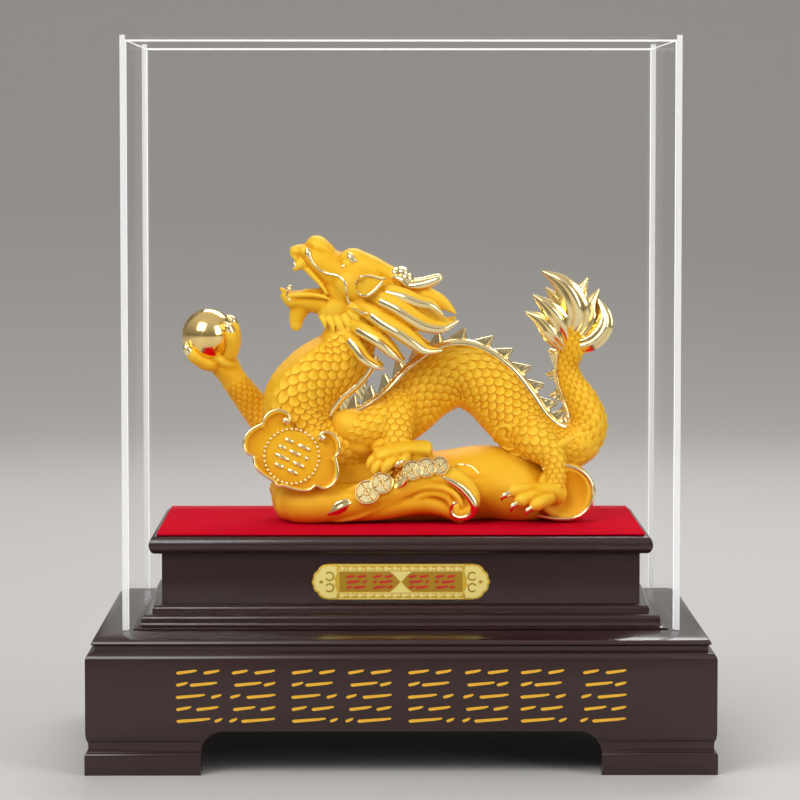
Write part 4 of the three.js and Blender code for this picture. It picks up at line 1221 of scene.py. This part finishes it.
name_plate = pressed("name_plate_front", [tablet(1, 1)], NAME_FRONT + 0.6, 0.8)
soften(name_plate, 0.25, angle=70, segments=2)
satin = finish_of(
    "satin brass", (0.74, 0.46, 0.04), (0.82, 0.53, 0.06), (0.32, 0.44), 0.6, size=60, grain=0.1, depth=0.1,
)
pale = finish_of(
    "pale relief", (0.93, 0.76, 0.2), (0.98, 0.84, 0.32), (0.3, 0.45), 0.45, size=80, grain=0.15, depth=0.1,
)
dull = finish_of(
    "dull panel", (0.42, 0.235, 0.012), (0.5, 0.29, 0.02), (0.4, 0.5), 0.5, size=90, grain=0.3, depth=0.12,
)
red_paint = finish_of(
    "red paint", (0.52, 0.012, 0.006), (0.6, 0.02, 0.01), (0.35, 0.5), size=90, grain=0.1, depth=0.05,
)
END = [
    (31.0, 7.6), (34.6, 7.9), (37.0, 7.4), (38.6, 6.2), (39.3, 4.5), (40.6, 3.9), (41.3, 2.8),
    (41.2, 1.6), (42.0, 0), (41.2, -1.6), (41.3, -2.8), (40.6, -3.9), (39.3, -4.5), (38.6, -6.2),
    (37.0, -7.4), (34.6, -7.9), (31.0, -7.6), (30.6, -4.4), (32.2, -1.2), (31.2, 0), (32.2, 1.2),
    (30.6, 4.4),
]
relief = both_ends([[(x, NAME_Z + z) for x, z in END[::-1]]])
for k in range(14):
    x = (k - 6.5) * 4.25
    for side in (-1, 1):
        relief.append(oval(x - 0.7, side * 6.5, 2.5, 2.0))
        relief.append(oval(x + 1.2, side * 6.2, 1.5, 1.2, 8))
for side in (-1, 1):
    lozenge = [(-5.2, 5), (5.2, 5), (2.6, 2.9), (0, 0), (-2.6, 2.9)]
    relief.append([(x, NAME_Z + side * z) for x, z in lozenge])
    for z, wide in ((7.85, 0.35), (5.1, 0.3)):
        line = [(-30.2, z), (30.2, z), (30.2, z + wide), (-30.2, z + wide)]
        relief.append([(x, NAME_Z + side * high) for x, high in line])
raised = pressed("relief", relief, NAME_FRONT + 0.2, 0.8)
hollows = both_ends([
    curl(34.3, 2.75, 2.3, 0.75, 40, 330), curl(34.3, -2.75, 2.3, 0.75, -330, -40), oval(38.3, 0, 2.0, 1.5),
])
panel = [(-29.6, 4.8), (-5.4, 4.8), (-3.0, 2.9), (-0.5, 0), (-3.0, -2.9), (-5.4, -4.8), (-29.6, -4.8)]
sunk = pressed("sunk", hollows, NAME_FRONT + 0.15, 0.4)
panels = pressed("panels", both_ends([[(x, NAME_Z + z) for x, z in panel]]), NAME_FRONT + 0.5, 0.4)
RED_ROWS = (
    (2.7, ((-2.8, 3.8), (2.6, 4.2))),
    (0.1, ((-1.4, 6.4), (4.0, 1.8))),
    (-2.5, ((-3.4, 2.6), (1.6, 6.0))),
)
red_marks = []
for k, middle in enumerate((-21.4, -8.6, 8.6, 21.4)):
    turn_over = -1 if k % 2 else 1
    for z, parts in RED_ROWS:
        for x, long in parts:
            red_marks.append(stroke(middle + turn_over * x, NAME_Z + z, long, 1.25, 0.25))
red_rows = pressed("red_rows", red_marks, NAME_FRONT + 0.3, 0.3)
joined(
    wear(name_plate, satin), wear(raised, pale), wear(sunk, dull), wear(panels, dull),
    wear(red_rows, red_paint),
)
stand_for("name_plate", name_plate)

# COVER. A box of clear acrylic sheet, open below, with its polished edges glued. It stands on the
# ledge of the lower step round the raised tier, and lifts off.
SIDE, DEEP, LOW, HIGH, WALL = 133, 83, 66.8, 350, 3
cover = slab("clear_cover", (2 * SIDE, 2 * DEEP, HIGH - LOW), (0, 0, (LOW + HIGH) / 2))
ROOM_LOW, ROOM_HIGH = 40, HIGH - WALL
room = ((SIDE - WALL) * 2, (DEEP - WALL) * 2, ROOM_HIGH - ROOM_LOW)
cut_away(cover, slab("room", room, (0, 0, (ROOM_HIGH + ROOM_LOW) / 2)))
acrylic = plain_finish(
    "clear acrylic", Base_Color=(1, 1, 1, 1), Roughness=0.02, IOR=1.1, Transmission_Weight=1, Alpha=0.06,
)


# The sawn edges of the side panes are polished but still milky, and the glued seams catch the light; the pale
# colour of both is partly that milkiness and partly a painted highlight, and their glow is painted light.
def milky_with_painted_glow(name, colour, alpha, glow):
    return finish_of(
        name, colour, colour, (0.2, 0.35), size=20, stretch=(1, 1, 0.2), grain=0.05, depth=0.1,
        Alpha=alpha, Emission_Color=(1, 1, 1, 1), Emission_Strength=glow,
    )


# Painted highlight: the sawn edges and glued seams are drawn pale and made to glow faintly.
sawn = milky_with_painted_glow("sawn edge", (0.86, 0.87, 0.88), 0.55, 0.12)
seam = milky_with_painted_glow("glued seam", (0.95, 0.96, 0.97), 0.8, 0.3)


def rod(a, b, wide):
    low = [min(p, q) - wide / 2 for p, q in zip(a, b)]
    high = [max(p, q) + wide / 2 for p, q in zip(a, b)]
    return slab("rod", [q - p for p, q in zip(low, high)], [(p + q) / 2 for p, q in zip(low, high)])


strips, seams = [], []
for x in (-SIDE + 1.5, SIDE - 1.5):
    for y in (-DEEP + 0.7, DEEP - 0.7):
        strip = rod((x, y, LOW + 0.8), (x, y, HIGH - 1), 1.2)
        for v in strip.data.vertices:
            v.co.x = (x + (1.3 if v.co.x > x * MM else -1.3)) * MM
        strips.append(strip)
for x in (-SIDE + WALL, SIDE - WALL):
    for y in (-DEEP + WALL, DEEP - WALL):
        seams.append(rod((x, y, LOW + 0.5), (x, y, ROOM_HIGH), 0.45))
    seams.append(rod((x, -DEEP + WALL, ROOM_HIGH), (x, DEEP - WALL, ROOM_HIGH), 0.5))
for y in (-DEEP + WALL, DEEP - WALL):
    seams.append(rod((-SIDE + WALL, y, ROOM_HIGH), (SIDE - WALL, y, ROOM_HIGH), 0.8))
joined(wear(cover, acrylic), *[wear(p, sawn) for p in strips], *[wear(p, seam) for p in seams])
stand_for("acrylic_cover", cover)

# STUDIO. A pale floor that sweeps up behind, a soft grey room that is lighter overhead, three large
# lamps, and the camera, about 1.8 m in front and a little above.
alone()
bpy.ops.mesh.primitive_plane_add(size=10, location=(0, -1.5, 0))
floor = bpy.context.object
floor.name = "floor"
bpy.ops.object.transform_apply(location=True, rotation=False, scale=True)
bpy.ops.object.mode_set(mode="EDIT")
bpy.ops.mesh.select_all(action="DESELECT")
bpy.ops.object.mode_set(mode="OBJECT")
for edge in floor.data.edges:
    edge.select = all(floor.data.vertices[i].co.y > 3 for i in edge.vertices)
bpy.ops.object.mode_set(mode="EDIT")
bpy.ops.mesh.select_mode(type="EDGE")
bpy.ops.mesh.extrude_region_move(TRANSFORM_OT_translate={"value": (0, 0, 5)})
bpy.ops.object.mode_set(mode="OBJECT")
sweep_up = floor.modifiers.new("sweep", "BEVEL")
sweep_up.width = 1.6
sweep_up.segments = 16
sweep_up.limit_method = "ANGLE"
bpy.ops.object.modifier_apply(modifier=sweep_up.name)
bpy.ops.object.shade_smooth()
floor.data.materials.append(plain_finish("pale floor", Base_Color=(0.55, 0.54, 0.53, 1), Roughness=0.7))
world = bpy.data.worlds.new("soft room")
bpy.context.scene.world = world
world.use_nodes = True
sky = world.node_tree.nodes
place = sky.new("ShaderNodeTexCoord")
height = sky.new("ShaderNodeSeparateXYZ")
level = sky.new("ShaderNodeMapRange")
fade = sky.new("ShaderNodeValToRGB")
graded(fade, (0.35, (0.055, 0.046, 0.038)), (0.95, (0.85, 0.82, 0.77)))
dial(level, From_Min=-1)
dial(sky["Background"], Strength=0.7)
wire(
    world.node_tree,
    (place, "Generated", height, "Vector"), (height, "Z", level, "Value"),
    (level, "Result", fade, "Fac"), (fade, "Color", sky["Background"], "Color"),
)


def soft_box(name, place, size, power, aim=(0, 0, 0.18)):
    lamp = bpy.data.lights.new(name, "AREA")
    lamp.shape = "RECTANGLE"
    lamp.size, lamp.size_y = size
    lamp.energy = power
    made = bpy.data.objects.new(name, lamp)
    bpy.context.collection.objects.link(made)
    made.location = place
    made.rotation_euler = (Vector(aim) - Vector(place)).to_track_quat("-Z", "Y").to_euler()
    return made


soft_box("key light", (-0.8, -1.15, 1.25), (1.0, 1.0), 17.4)
soft_box("fill light", (1.3, -1.2, 0.9), (0.8, 1.2), 12)
soft_box("rim light", (0.3, 1.4, 1.5), (1.4, 0.7), 18)
lens = bpy.data.cameras.new("camera")
lens.lens = 164.4
lens.sensor_width = 36
camera = bpy.data.objects.new("camera", lens)
bpy.context.collection.objects.link(camera)
camera.location = (-0.0119, -1.813, 0.2986)
camera.rotation_euler = (math.radians(90 - 4.02), 0, math.radians(-0.376))
bpy.context.scene.camera = camera
bpy.context.scene.view_settings.view_transform = "Standard"
